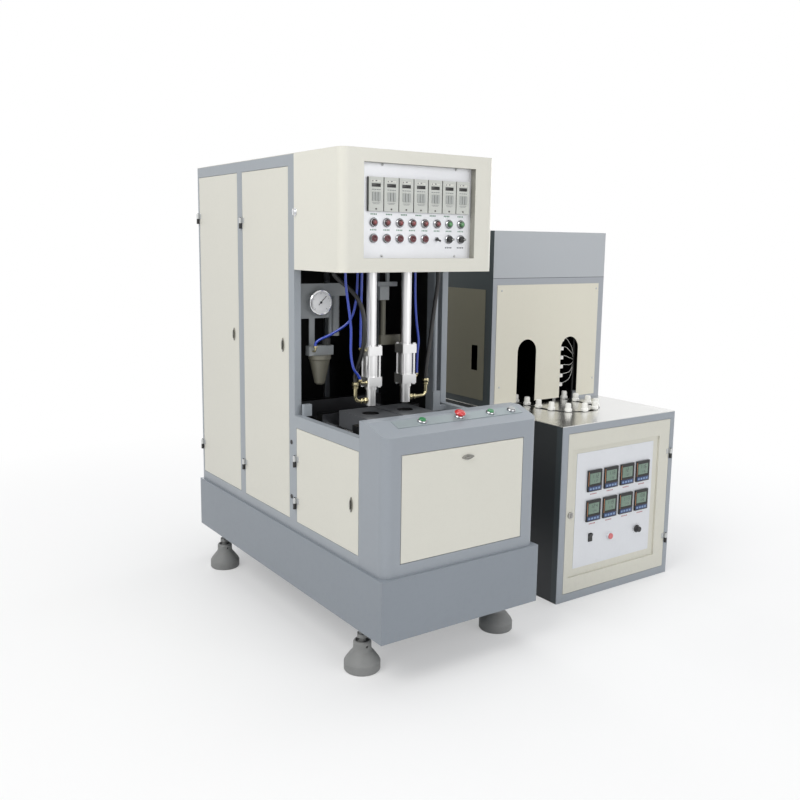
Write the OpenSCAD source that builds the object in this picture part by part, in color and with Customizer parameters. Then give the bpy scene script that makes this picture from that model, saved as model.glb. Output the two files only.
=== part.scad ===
/* [Press base] */
// Width of the base box
base_w = 700; // [640:10:800]
// Length of the base box, front to back
base_len = 1550; // [1500:10:1700]
// Height of the base box
base_h = 220; // [180:5:260]
// Wall of the base box
base_wall = 6; // [4:1:10]
// Height of the levelling feet
foot_h = 165; // [150:1:190]
// Width of a foot's cup
foot_cup_d = 130; // [110:1:150]
// Width of a foot's stud
foot_stud_d = 24; // [16:1:30]
// Foot centre in from the side of the base
foot_inset = 40; // [35:1:60]
// Front foot centre behind the front of the base
foot_front = 180; // [120:1:240]
// Rear foot centre in front of the back of the base
foot_rear = 178; // [120:1:240]
// Square pad that a stud screws into
pad_w = 66; // [50:1:68]

/* [Press cabinet] */
// Height of the press above the floor
press_h = 1810; // [1760:10:1900]
// Set back of the cabinet from the base on every side
body_inset = 12; // [6:1:20]
// Cabinet front behind the front of the base
cabinet_y = 625; // [600:1:640]
// Depth of a frame post, across the machine
post_x = 28; // [24:1:34]
// Width of the front corner post, along the machine
post_y = 46; // [40:1:50]
// Width of the post between the two tall doors
mid_post = 49; // [40:1:56]
// Length of the middle door
mid_door_w = 400; // [360:5:420]
// Length of the rear door
rear_door_w = 402; // [360:5:410]
// Frame below the tall doors
sill_h = 41; // [34:1:48]
// Frame above the tall doors
head_h = 45; // [34:1:60]
// Height of the low part's frame above the base
low_frame_h = 454; // [440:1:470]
// Rail above the lower side door
low_rail_h = 46; // [40:1:60]
// Side of the square column under the hood
column_w = 28; // [20:1:34]
// Column centre in front of the cabinet
column_out = 49; // [40:1:70]

/* [Doors] */
// Thickness of the folded sheets
sheet = 2; // [1.5:0.5:3]
// Depth of a door's folded edge
door_t = 18; // [14:1:22]
// Gap round a door
door_gap = 1.5; // [1.5:0.5:3]
// Width of the front door
front_door_w = 534; // [440:1:540]
// Height of the front door
front_door_h = 371; // [330:1:380]
// Bottom of the front door above the base
front_door_z = 45; // [40:1:55]
// Gap round the front door
front_gap = 2; // [2:0.5:4]
// Pin of the front door
front_pin_d = 5; // [4:0.5:6]
// Pin centre in from the faces of the front door
front_pin_in = 4; // [3.5:0.5:5]
// Hinge barrel
hinge_d = 12; // [10:1:14]
// Hinge pin
hinge_pin_d = 6; // [4:0.5:7]
// Height of one hinge half
hinge_half = 22; // [18:1:30]
// Hinge axis beside a door's edge
hinge_off = 8; // [7.5:0.5:9]
// Length of a lock's handle
lock_len = 54; // [44:1:60]
// Width of a lock's handle
lock_w = 18; // [16:1:24]
// Length of a lock's cam from its centre
cam_len = 55; // [52:1:58]
// Lock centre in from the free edge of a door
lock_in = 45; // [42:1:46]

/* [Front apron] */
// Wall of the folded cover
apron_wall = 2.5; // [2:0.5:4]
// Back of the cover behind the front of the base
apron_y = 165; // [160:1:168]
// Radius of its upright corners
apron_r = 32; // [24:1:40]
// Height of its flat top above the base
apron_h = 515; // [500:1:540]
// Depth of its flat top
apron_flat = 50; // [30:1:60]
// Fall of its sloping top
apron_fall = 36; // [20:1:50]
// Depth of the turned down back edge
apron_lip = 40; // [30:1:44]

/* [Control hood] */
// Height of the hood
hood_h = 421; // [400:1:440]
// Reach of the hood in front of the cabinet
hood_out = 333; // [310:1:360]
// Radius of its upright corners
hood_r = 30; // [24:1:40]
// Width of the recess for the controls
recess_w = 490; // [480:1:520]
// Height of the recess
recess_h = 327; // [320:1:340]
// Recess above the hood's lower edge
recess_z = 49; // [40:1:60]
// Depth of the recess
recess_d = 30; // [20:1:36]
// Number of timers
timer_count = 7; // [5:1:7]
// Spacing of the timers
timer_pitch = 64; // [62:1:66]
// Width of a timer
timer_w = 60; // [52:1:61]
// Height of a timer
timer_h = 117; // [100:1:125]
// Depth of a timer in front of the plate
timer_t = 12; // [8:1:16]
// Number of pilot lamps
lamp_count = 8; // [6:1:8]
// Spacing of the lamps and switches
lamp_pitch = 55.3; // [50:0.1:56]
// Width of a lamp or a button
cap_d = 24; // [20:1:26]
// Width of the rings round lamps and buttons
bezel_d = 33; // [31:1:36]
// Height of the rings
bezel_h = 8; // [6:1:10]
// Gap round a button in its ring
cap_gap = 0.3; // [0.2:0.05:0.6]

/* [Blowing unit] */
// Centre distance of the two cylinders
cyl_pitch = 160; // [155:1:175]
// Cylinder axes in front of the cabinet
cyl_out = 131; // [125:1:140]
// Side of the square cylinder heads
head_w = 65; // [60:1:72]
// Height of the lower head
low_head_h = 36; // [30:1:44]
// Height of the upper head
top_head_h = 35; // [30:1:44]
// Length of the barrel between the heads
barrel_h = 82; // [76:1:100]
// Outside of the barrel
barrel_d = 54; // [52:1:56]
// Bore of the barrel
barrel_bore = 46; // [42:1:48]
// Outside of the long upper tube
tube_d = 40; // [38:1:46]
// Bore of the long upper tube
tube_bore = 34; // [30:1:36]
// Stretch rod
rod_d = 14; // [10:1:16]
// Blow nozzle
nozzle_d = 24; // [20:1:28]
// Sleeve round the nozzle
sleeve_d = 38; // [34:1:42]
// Length of the sleeve
sleeve_h = 76; // [70:1:84]
// Running clearance on the radius
fit = 0.05; // [0.03:0.01:0.1]
// Plate that carries the cylinders, thickness
carrier_t = 20; // [15:1:30]

/* [Clamp and moulds] */
// Width of one mould
mould_w = 150; // [140:1:153]
// Depth of one mould half
mould_t = 110; // [100:1:120]
// Height of the moulds
mould_h = 300; // [280:1:310]
// Top of the moulds above the base
mould_top = 460; // [455:1:465]
// Thickness of the platens
platen_t = 40; // [30:1:46]
// Width of the platens
platen_w = 460; // [440:1:500]
// Height of the platens
platen_h = 330; // [320:1:340]
// Height of the bed under the platens
bed_h = 120; // [110:1:125]
// Clamp tie bars
tie_d = 40; // [30:1:44]
// Half distance of the tie bars across
tie_x = 195; // [185:1:198]
// Opening stroke of the clamp
clamp_stroke = 180; // [150:5:190]
// Length of the clamp cylinder
clamp_len = 260; // [245:5:300]
// Outside of the clamp cylinder
clamp_d = 140; // [120:1:160]
// Bore of the clamp cylinder
clamp_bore = 110; // [100:1:114]
// Piston rod of the clamp
clamp_rod_d = 45; // [36:1:50]

/* [Heater] */
// Gap between the two units
unit_gap = 318; // [250:5:500]
// Front of the heater behind the front of the press
heater_y = 208; // [150:5:260]
// Width of the heater
heater_w = 700; // [680:5:760]
// Table behind the conveyor's rear turn
heater_tail = 201; // [180:1:260]
// Height of the heater's table
table_h = 760; // [720:5:800]
// Thickness of the table plate
table_t = 3; // [2:0.5:5]
// Total height of the heater
heater_h = 1550; // [1500:10:1620]
// Front of the heating column behind the heater's front
column_y = 462; // [440:1:500]
// Wall of the cabinet and column
heater_wall = 3; // [2:0.5:5]
// Frame left of the heater's door
door_left = 36; // [28:1:44]
// Frame right of the heater's door
door_right = 28; // [20:1:34]
// Frame below and above the heater's door
door_sill = 36; // [28:1:44]
// Thickness of the heater's cream panels
panel_t = 2; // [1.5:0.5:3]
// Frame round the panel with the arches
panel_edge = 25; // [20:1:30]
// Height of that panel
panel_h = 538; // [500:2:560]
// Panel above the table
panel_z = 14; // [10:1:20]
// Width of an arch
arch_w = 115; // [100:1:122]
// Height of the straight sides of an arch above the table
arch_spring = 245; // [220:1:260]
// Distance of a conveyor run from the middle
run_x = 136; // [132:1:146]
// Centre of the front turn of the conveyor behind the heater's front
turn_y = 333; // [320:1:340]
// Straight length of the conveyor
run_len = 766; // [700:2:790]
// Number of preform holders
holder_count = 31; // [24:1:47]
// Outside of a holder
holder_d = 34; // [30:1:36]
// Height of a holder above the table
holder_h = 38; // [30:1:44]
// Width of the conveyor's slot in the table
slot_w = 28; // [24:1:32]
// Height of the chain
chain_h = 26; // [20:1:30]
// Thickness of the chain
chain_t = 12; // [10:1:16]
// Number of lamps in a rack
lamp_rows = 6; // [4:1:6]
// Spacing of the lamps
lamp_step = 43; // [36:1:44]
// Tube of a lamp
tube_lamp_d = 10; // [8:1:12]
// Width of a temperature controller
ctrl_w = 82; // [70:1:88]
// Height of a temperature controller
ctrl_h = 92; // [80:1:96]
// Spacing of the controllers across
ctrl_pitch = 101; // [96:1:104]
// Spacing of the two rows of controllers
ctrl_row = 131; // [110:1:134]

/* [Hidden] */
$fn = 48;
eps = 0.5;
seat = 0.3;

// Heights above the floor
base_top = foot_h + base_h;
low_top = base_top + low_frame_h;
low_door_z = base_top + sill_h - 1;
low_door_h = low_frame_h - low_rail_h - sill_h - 0.5;
tall_door_z = base_top + sill_h;
tall_door_h = press_h - head_h - tall_door_z;
hood_z = press_h - hood_h;
lock_up = tall_door_h / 2 + 4.5;
lock_z = tall_door_z + lock_up;
mid_hinges = [126, tall_door_h - 202];
rear_hinges = [126, tall_door_h - 179];
low_lock_up = low_door_h / 2 - 12.25;
low_lock_z = low_door_z + low_lock_up;
low_hinges = [72, low_door_h - 129.5];
carrier_z = hood_z + 6;
mould_z = base_top + mould_top;
low_head_z = mould_z + 31 + sleeve_h;
top_head_z = low_head_z + low_head_h + barrel_h;
tube_z = top_head_z + top_head_h;
filter_z = hood_z - 329;

// Places across and along the press
body_x0 = body_inset;
body_x1 = base_w - body_inset;
body_w = body_x1 - body_x0;
mid_x = base_w / 2;
cabinet_y1 = base_len - body_inset;
mid_door_y0 = cabinet_y + post_y;
mid_door_y1 = mid_door_y0 + mid_door_w;
rear_door_y0 = mid_door_y1 + mid_post;
rear_door_y1 = rear_door_y0 + rear_door_w;
low_door_y0 = apron_y + 2;
low_door_y1 = cabinet_y - 14;
cyl_y = cabinet_y - cyl_out;
hood_y = cabinet_y - hood_out;
recess_x = (base_w - recess_w) / 2;
plate_y = hood_y + recess_d - sheet;
front_door_x = mid_x - front_door_w / 2;
front_door_top = base_top + front_door_z + front_door_h;
cam_y = door_t + 1;
cam_t = 3;
cam_w = 16;
bed_top = base_top + bed_h;
end_plate_y = cyl_y + mould_t + platen_t + clamp_stroke + 66;
front_platen_y = cyl_y - mould_t - platen_t;

// Slope of the apron's top
slope_run = apron_y - apron_flat - body_inset;
slope_a = atan(apron_fall / slope_run);
apron_top = base_top + apron_h;
button_y = 82;
function slope_z(y) = apron_top - (apron_y - apron_flat - y) * tan(slope_a);

// The heater's places
heater_x = base_w + unit_gap;
heater_len = turn_y + run_len + heater_tail;
heater_mid = heater_w / 2;
heater_door_w = heater_w - door_left - door_right;
heater_door_h = table_h - table_t - door_sill - 32;
holder_base = table_h + 2;
chain_z = table_h - 50;
set_x0 = foot_inset - foot_cup_d / 2;
set_mid_x = (set_x0 + heater_x + heater_w) / 2;
set_mid_y = base_len / 2;

// Routes of the hoses, from a fitting at their low end up to the plate that carries the cylinders
function route(points, z0) = let (n = len(points) - 1)
    [for (p = points) [p[0], p[1], z0 + (p[2] - points[0][2]) * (carrier_z - z0) / (points[n][2] - points[0][2])]];
black_left = route([[200, 494, 970], [200, 494, 1000], [203, 458, 1075], [204, 440, 1150],
    [203, 442, 1215], [192, 452, 1270], [172, 478, 1315], [138, 497, 1348], [112, 500, 1372],
    [110, 500, 1384], [110, 500, 1395]], low_head_z + 18);
black_right = route([[528, 494, 961], [529, 494, 990], [534, 494, 1033], [547, 494, 1112],
    [564, 494, 1231], [579, 494, 1329], [580, 494, 1380], [580, 494, 1395]], low_head_z + 9);
blue_low_left = route([[206, 470, 984], [196, 470, 1002], [176, 470, 1030], [165, 470, 1090],
    [165, 470, 1172], [156, 470, 1246], [143, 470, 1329], [140, 470, 1380], [140, 470, 1395]],
    low_head_z + 32);
blue_top_left = route([[222, 494, 1101], [222, 494, 1130], [223, 494, 1240], [226, 494, 1380],
    [226, 494, 1395]], top_head_z + 31);
blue_branch = route([[100, 622, 1100], [101, 620, 1112], [116, 612, 1126], [160, 590, 1150],
    [214, 562, 1196], [232, 545, 1270], [236, 540, 1380], [236, 540, 1395]], filter_z + 40);
blue_right = route([[485, 494, 986], [485, 494, 1020], [487, 494, 1070], [491, 494, 1115],
    [480, 494, 1187], [472, 494, 1273], [470, 494, 1380], [470, 494, 1395]], low_head_z + 34);
black_hose_d = 16;
blue_hose_d = 10;

module set_place() translate([-set_mid_x, -set_mid_y, 0]) children();
module heater_place() translate([heater_x - set_mid_x, heater_y - set_mid_y, 0]) children();
// Local frames of the outer faces: X to the right as seen from outside, Y into the machine
module left_face(y, z) translate([body_x0, y, z]) rotate([0, 0, -90]) children();
module on_slope(x) translate([x, button_y, slope_z(button_y)]) rotate([slope_a, 0, 0]) children();
module into(d, depth, y = 0) translate([0, y, 0]) rotate([-90, 0, 0]) cylinder(d = d, h = depth);
module box(x0, x1, y0, y1, z0, z1) translate([x0, y0, z0]) cube([x1 - x0, y1 - y0, z1 - z0]);

// Folded tray that faces outward, with a hole for its lock
module door_tray(w, h, lock_x, lock_z, hole = 12) {
    difference() {
        cube([w, door_t, h]);
        translate([sheet, sheet, sheet]) cube([w - 2 * sheet, door_t, h - 2 * sheet]);
        translate([lock_x, -eps, lock_z]) into(hole + 2 * fit, door_t);
    }
}
// The half of a hinge that turns with a door, axis beside the door's left edge
module hinge_moving(z) {
    translate([-hinge_off, -hinge_d / 2, z]) difference() {
        union() {
            cylinder(d = hinge_d, h = hinge_half);
            translate([0, hinge_d / 2 - sheet, 0]) cube([hinge_off + 16, sheet, hinge_half]);
        }
        translate([0, 0, -eps]) cylinder(d = hinge_pin_d + 2 * fit, h = hinge_half + 2 * eps);
    }
}
module hinge_fixed(z, side = -1) {
    translate([-hinge_off, -hinge_d / 2, z - hinge_half - seat]) {
        cylinder(d = hinge_d, h = hinge_half);
        translate([0, 0, hinge_half]) cylinder(d = hinge_pin_d, h = hinge_half + seat + 2);
        translate([side < 0 ? -8 : 0, hinge_d / 2 - sheet, 0]) cube([8, sheet, hinge_half]);
    }
}
module hinge_pair(zs) for (z = zs) hinge_fixed(z);
module door_leaf(w, h, lock_x, lock_z, zs, hole = 12) {
    door_tray(w, h, lock_x, lock_z, hole);
    for (z = zs) hinge_moving(z);
}
// Quarter turn lock: lens shaped handle outside, shaft and cam inside
module lens(len, w, h) {
    r = (len * len / 4 + w * w / 4) / w;
    linear_extrude(h) intersection() {
        translate([r - w / 2, 0]) circle(r, $fn = 96);
        translate([w / 2 - r, 0]) circle(r, $fn = 96);
    }
}
module quarter_lock(cam_dir = 1) {
    rotate([90, 0, 0]) {
        difference() {
            translate([0, 0, seat]) lens(lock_len, lock_w, 4);
            translate([0, 0, seat + 3]) lens(lock_len - 10, lock_w - 6, 4);
        }
        translate([0, 0, seat + 2]) lens(lock_len - 22, 6, 6);
    }
    into(12, cam_y + cam_t + 2 + seat, -seat);
    difference() {
        translate([-cam_w / 2, cam_y, cam_dir > 0 ? -cam_w / 2 : cam_w / 2 - cam_len])
            cube([cam_w, cam_t, cam_len]);
        translate([0, cam_y - eps, 0]) into(12, cam_t + 2 * eps);
    }
}

// Outline of a sheet cover with round front corners, drawn from its front edge
module round_front(w, depth, r, inset = 0) {
    translate([inset + r, inset]) square([w - 2 * inset - 2 * r, depth - inset]);
    translate([inset, inset + r]) square([w - 2 * inset, depth - inset - r]);
    for (x = [inset + r, w - inset - r]) translate([x, inset + r]) circle(r, $fn = 64);
}

// Press: structure
module base_plinth() color("lightslategray") set_place() difference() {
    union() {
        difference() {
            translate([0, 0, foot_h]) cube([base_w, base_len, base_h]);
            box(base_wall, base_w - base_wall, base_wall, base_len - base_wall,
                foot_h - eps, base_top - base_wall);
        }
        for (p = foot_places) translate([p[0] - (p[0] < mid_x ? foot_inset - base_wall
            : pad_w - foot_inset + base_wall), p[1] - pad_w / 2, foot_h]) cube([pad_w, pad_w, 40]);
    }
    for (p = foot_places) translate([p[0], p[1], foot_h - eps]) cylinder(d = foot_stud_d, h = 30 + eps);
}
foot_places = [for (x = [foot_inset, base_w - foot_inset])
    for (y = [foot_front, base_len - foot_rear]) [x, y]];
module foot() {
    cup_r = foot_cup_d / 2;
    neck_r = foot_cup_d / 4;
    difference() {
        rotate_extrude($fn = 64) polygon([[0, 8], [cup_r - 10, 8], [cup_r - 8, 0], [cup_r - 3, 0],
            [cup_r, 4], [cup_r, 32], [cup_r - 4, 40], [neck_r + 12, 62], [neck_r + 3, 72],
            [neck_r, 82], [neck_r, 102], [neck_r - 4, 108], [0, 108]]);
        translate([0, 0, 98]) cylinder(d = 2 * neck_r - 16, h = 20);
        translate([0, -cup_r, 92]) rotate([-90, 0, 0]) cylinder(d = 8, h = cup_r);
    }
    translate([0, 0, 98]) cylinder(d = foot_stud_d, h = foot_h - 98 + 30);
    translate([0, 0, foot_h - 46]) cylinder(d = foot_stud_d * 1.7, h = 14, $fn = 6);
}
module levelling_feet() color("darkgray") set_place()
    for (p = foot_places) translate([p[0], p[1], 0]) foot();

module side_opening(y0, y1, z0, h, x0, x1) box(x0, x1, y0 - door_gap, y1 + door_gap,
    z0 - door_gap, z0 + h + door_gap);
module machine_frame() color("lightsteelblue") set_place() {
    ix0 = body_x0 + post_x;
    ix1 = body_x1 - post_x;
    difference() {
        union() {
            box(body_x0, body_x1, cabinet_y, cabinet_y1, base_top, press_h - sheet);
            box(body_x0, body_x1, apron_y, cabinet_y, base_top, low_top);
            box(body_x0 + apron_wall, body_x1 - apron_wall, apron_y - post_x, apron_y,
                base_top, low_top);
        }
        // Open inside, from the base to the top cover and from the front to the back
        box(ix0, ix1, cabinet_y + post_y, cabinet_y1 - post_x, base_top - eps, press_h + eps);
        box(ix0, ix1, apron_y - post_x - eps, cabinet_y + post_y + eps, base_top - eps, hood_z + hood_h
            - head_h);
        box(ix0, ix1, cabinet_y1 - post_x - eps, cabinet_y1 + eps, tall_door_z, press_h - head_h);
        for (x = [[body_x0 - eps, ix0 + eps], [ix1 - eps, body_x1 + eps]]) {
            side_opening(mid_door_y0, mid_door_y1, tall_door_z, tall_door_h, x[0], x[1]);
            side_opening(rear_door_y0, rear_door_y1, tall_door_z, tall_door_h, x[0], x[1]);
            side_opening(low_door_y0, low_door_y1, low_door_z, low_door_h, x[0], x[1]);
        }
        // Slots that the cams of the tall doors turn into
        for (y = [mid_door_y0, rear_door_y0]) box(body_x0 + cam_y - 2, body_x0 + cam_y + cam_t + 2,
            y - 16, y, lock_z - cam_w / 2 - 2, lock_z + cam_w / 2 + 2);
        box(body_x0 + cam_y - 2, body_x0 + cam_y + cam_t + 2, apron_y - 14, apron_y + eps + 2,
            low_lock_z - cam_w / 2 - 2, low_lock_z + cam_w / 2 + 2);
    }
    // Plate that carries the blowing unit
    difference() {
        box(ix0, ix1, cyl_y - 54, cabinet_y + post_y, carrier_z, carrier_z + carrier_t);
        for (s = [-1, 1]) translate([mid_x + s * cyl_pitch / 2, cyl_y, carrier_z - eps])
            cylinder(d = tube_d, h = carrier_t + 2 * eps);
    }
    // Square column under the hood, and two stops on the side rails
    box(body_x1 - column_w - 3, body_x1 - 3, cabinet_y - column_out - column_w / 2,
        cabinet_y - column_out + column_w / 2, low_top, hood_z);
    box(ix0 - 6, ix0 + 27, cabinet_y - 35, cabinet_y - 15, low_top, low_top + 44);
    box(ix1 - 64, ix1, cabinet_y - 95, cabinet_y - 75, low_top - 24, low_top - 4);
    box(ix1 - 64, ix1 - 29, cabinet_y - 95, cabinet_y - 75, low_top - 24, low_top + 57);
    translate([ix1 - 54, cabinet_y - 85, low_top + 57]) cylinder(d = 18, h = hood_z - low_top - 57);
}

// Flat sheets set into the frame on the sides that the doors leave open
module cover_sheet(y0, y1, z0, h) box(body_x1 - sheet, body_x1, y0 - door_gap, y1 + door_gap,
    z0 - door_gap, z0 + h + door_gap);
module cabinet_covers() color("beige") set_place() {
    cover_sheet(mid_door_y0, mid_door_y1, tall_door_z, tall_door_h);
    cover_sheet(rear_door_y0, rear_door_y1, tall_door_z, tall_door_h);
    cover_sheet(low_door_y0, low_door_y1, low_door_z, low_door_h);
    difference() {
        box(body_x0 + post_x, body_x1 - post_x, cabinet_y1 - sheet, cabinet_y1,
            tall_door_z, press_h - head_h);
        for (z = [0:14]) box(mid_x - 150, mid_x + 150, cabinet_y1 - sheet - eps, cabinet_y1 + eps,
            press_h - 330 + z * 14, press_h - 325 + z * 14);
    }
    box(body_x0, body_x1, cabinet_y, cabinet_y1, press_h - sheet, press_h);
}
module apron_profile(drop, grow = 0) rotate([90, 0, 90]) linear_extrude(base_w)
    polygon([[body_inset - grow, base_top - grow], [body_inset - grow,
        apron_top - apron_fall - drop - grow * tan(slope_a)],
        [apron_y - apron_flat, apron_top - drop],
        [apron_y + grow, apron_top - drop], [apron_y + grow, base_top - grow]]);
module apron_outline(inset) translate([body_x0, body_inset, base_top - eps])
    linear_extrude(apron_h + 2 * eps) round_front(body_w, apron_y - body_inset + eps, apron_r - inset, inset);
module front_apron() color("lightslategray") set_place() difference() {
    union() {
        difference() {
            intersection() {
                apron_outline(0);
                apron_profile(0);
            }
            intersection() {
                apron_outline(apron_wall);
                apron_profile(apron_wall, 1);
            }
        }
        box(body_x0 + apron_wall, body_x1 - apron_wall, apron_y - apron_wall, apron_y,
            apron_top - apron_lip, apron_top - apron_wall);
        for (x = [front_door_x - front_gap - 4, front_door_x + front_door_w + front_gap])
            box(x, x + 4, body_inset + apron_wall - seat, body_inset + 20,
                base_top + front_door_z - 4, base_top + front_door_z + 20);
    }
    box(front_door_x - front_gap, front_door_x + front_door_w + front_gap, -eps,
        body_inset + apron_wall + eps, base_top + front_door_z - front_gap,
        front_door_top + front_gap);
    translate([front_door_x - 20, body_inset + front_pin_in, base_top + front_door_z + front_pin_in])
        rotate([0, 90, 0]) cylinder(d = front_pin_d + 2 * fit, h = front_door_w + 40);
}

// Press: doors and their locks
module middle_side_door() color("ivory") set_place() left_face(mid_door_y1, tall_door_z)
    door_leaf(mid_door_w, tall_door_h, mid_door_w - lock_in, lock_up, mid_hinges);
module rear_side_door() color("ivory") set_place() left_face(rear_door_y1, tall_door_z)
    door_leaf(rear_door_w, tall_door_h, rear_door_w - lock_in, lock_up, rear_hinges);
low_door_w = low_door_y1 - low_door_y0;
module lower_side_door() color("ivory") set_place() left_face(low_door_y1, low_door_z)
    door_leaf(low_door_w, low_door_h, low_door_w - lock_in, low_lock_up, low_hinges);
module door_hinges() color("dimgray") {
    set_place() {
        left_face(mid_door_y1, tall_door_z) hinge_pair(mid_hinges);
        left_face(rear_door_y1, tall_door_z) hinge_pair(rear_hinges);
        left_face(low_door_y1, low_door_z) hinge_pair(low_hinges);
    }
    heater_place() heater_hinge_side() hinge_pair(heater_hinges);
}
module side_lock(y1, w, z, dz) set_place() left_face(y1, z)
    translate([w - lock_in, 0, dz]) quarter_lock(-1);
module middle_door_lock() color("silver") side_lock(mid_door_y1, mid_door_w, tall_door_z, lock_up);
module rear_door_lock() color("silver") side_lock(rear_door_y1, rear_door_w, tall_door_z, lock_up);
module lower_door_lock() color("silver") side_lock(low_door_y1, low_door_w, low_door_z, low_lock_up);
front_lock_x = front_door_w / 2 + 11;
front_lock_z = front_door_h - 38;
module front_door() color("ivory") set_place() translate([front_door_x, body_inset, base_top + front_door_z]) {
    door_tray(front_door_w, front_door_h, front_lock_x, front_lock_z);
    for (x = [-front_gap - 4, front_door_w]) translate([x, front_pin_in, front_pin_in])
        rotate([0, 90, 0]) cylinder(d = front_pin_d, h = front_gap + 4);
}
module front_door_lock() color("silver") set_place()
    translate([front_door_x + front_lock_x, body_inset, base_top + front_door_z + front_lock_z])
        rotate([0, 90, 0]) quarter_lock(1);

// Press: control hood
module hood_outline(inset) translate([body_x0, hood_y, 0])
    round_front(body_w, hood_out, hood_r - inset, inset);
module control_hood() color("beige") set_place() {
    difference() {
        union() {
            difference() {
                translate([0, 0, hood_z]) linear_extrude(hood_h) hood_outline(0);
                translate([0, 0, hood_z + sheet]) linear_extrude(hood_h - 2 * sheet)
                    union() {
                        hood_outline(sheet);
                        translate([body_x0 + sheet, cabinet_y - 20]) square([body_w - 2 * sheet, 40]);
                    }
            }
            box(recess_x - sheet, recess_x + recess_w + sheet, hood_y + sheet / 2,
                hood_y + recess_d + sheet, hood_z + recess_z - sheet,
                hood_z + recess_z + recess_h + sheet);
        }
        box(recess_x, recess_x + recess_w, hood_y - eps, hood_y + recess_d,
            hood_z + recess_z, hood_z + recess_z + recess_h);
        box(body_x0 + 78, body_x1 - 96, hood_y + 128, cabinet_y - 25, hood_z - eps, hood_z + sheet + eps);
    }
}
latch_z = hood_z + 210;
module hood_latch() color("silver") set_place() translate([body_x0 - seat, cabinet_y - 12, latch_z])
    rotate([0, -90, 0]) {
        cylinder(d = 29, h = 3);
        cylinder(d = 14, h = 9);
        translate([-12, -2.5, 3]) cube([24, 5, 8]);
    }
module round_plate_hole(x, z, d) translate([x, plate_y - eps, z]) into(d, sheet + 2 * eps);
module control_plates() color("gainsboro") set_place() {
    box(recess_x, recess_x + recess_w, plate_y, plate_y + sheet,
        hood_z + recess_z, hood_z + recess_z + recess_h);
    for (x = [recess_x + 92, recess_x + recess_w - 74], z = [hood_z + 57, hood_z + recess_z + recess_h - 5])
        translate([x, plate_y - 2, z]) into(8, 2);
    on_slope(0) translate([100, -22, fit]) cube([555, 46, sheet - fit]);
}
timer_z = hood_z + 211;
timer_x0 = recess_x + 30;
module timer_modules() color("lightgray") set_place()
    for (i = [0:timer_count - 1]) translate([timer_x0 + i * timer_pitch, plate_y - timer_t, timer_z])
        difference() {
            union() {
                cube([timer_w, timer_t, timer_h]);
                for (j = [0:2]) translate([timer_w / 2 - 16.5 + j * 12, -3, timer_h * 0.3])
                    cube([9, 3, timer_h * 0.26]);
                translate([timer_w / 2, -1.5, 8]) into(6, 1.5);
            }
            translate([timer_w / 2 - 19, -eps, timer_h - 34]) cube([38, 4, 12]);
            translate([timer_w / 2 - 20, -eps, timer_h - 18]) cube([40, 1.2, 8]);
        }
lamp_x0 = 162;
lamp_z = hood_z + 173;
switch_z = hood_z + 118;
function lamp_x(i) = lamp_x0 + i * lamp_pitch;
module lamp() {
    into(cap_d, 6, -6);
    intersection() {
        translate([0, -6, 0]) sphere(d = cap_d, $fn = 40);
        rotate([90, 0, 0]) cylinder(d = cap_d, h = 40);
    }
}
module pilot_lamps() set_place() for (i = [0:lamp_count - 1])
    color(i < lamp_count - 2 ? "red" : "green") translate([lamp_x(i), plate_y, lamp_z]) lamp();
module ring(hole = cap_d) rotate([90, 0, 0]) rotate_extrude() polygon([[hole / 2 + cap_gap, 0],
    [bezel_d / 2, 0], [bezel_d / 2, bezel_h - 3], [bezel_d / 2 - 2, bezel_h], [hole / 2 + cap_gap, bezel_h]]);
module slope_ring(hole) translate([0, 0, sheet]) rotate([-90, 0, 0]) ring(hole);
start_x = [212, 516];
stop_x = 373;
reset_x = 616;
module switch_bezels() color("silver") set_place() {
    for (i = [0:lamp_count - 1]) {
        translate([lamp_x(i), plate_y, lamp_z]) ring();
        if (i != 5) translate([lamp_x(i), plate_y, switch_z]) ring();
    }
    translate([lamp_x(5), plate_y, switch_z]) rotate([90, 0, 0]) difference() {
        cylinder(d = 18, h = 4, $fn = 6);
        translate([0, 0, -eps]) cylinder(d = 11 + 2 * cap_gap, h = 6);
    }
    for (x = [start_x[0], start_x[1], stop_x, reset_x]) on_slope(x) slope_ring(cap_d);
}
module hood_push_buttons() color("darkred") set_place() for (i = [0:4])
    translate([lamp_x(i), plate_y, switch_z]) difference() {
        into(cap_d, 11, -11);
        translate([0, -14, 0]) sphere(d = 16);
    }
module toggle_lever() color("black") set_place() translate([lamp_x(5), plate_y - 6, switch_z]) {
    sphere(d = 11);
    rotate([90 + 18, 0, 0]) {
        cylinder(d = 6, h = 17);
        translate([0, 0, 17]) sphere(d = 8);
    }
}
module pointer_knob() {
    into(cap_d, 12, -12.5);
    translate([-cap_d / 2 + 1, -21, -3.5]) cube([cap_d - 1, 9, 7]);
}
module left_selector_knob() color("black") set_place()
    translate([lamp_x(6), plate_y, switch_z]) pointer_knob();
module right_selector_knob() color("black") set_place()
    translate([lamp_x(7), plate_y, switch_z]) pointer_knob();
button_lift = 5;
module slope_button() translate([0, 0, sheet + button_lift]) rotate_extrude()
    polygon([[0, 0], [cap_d / 2, 0], [cap_d / 2, 6], [cap_d / 2 - 1.5, 7.5], [0, 7.5]]);
module left_start_button() color("green") set_place() on_slope(start_x[0]) slope_button();
module right_start_button() color("green") set_place() on_slope(start_x[1]) slope_button();
module reset_button() color("dimgray") set_place() on_slope(reset_x) slope_button();
module stop_button() color("red") set_place() on_slope(stop_x) translate([0, 0, sheet + button_lift])
    rotate_extrude() polygon([[0, 0], [cap_d / 2, 0], [cap_d / 2, 10], [20, 10.5], [20, 13],
        [17, 17], [11, 19.5], [0, 20]]);

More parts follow.
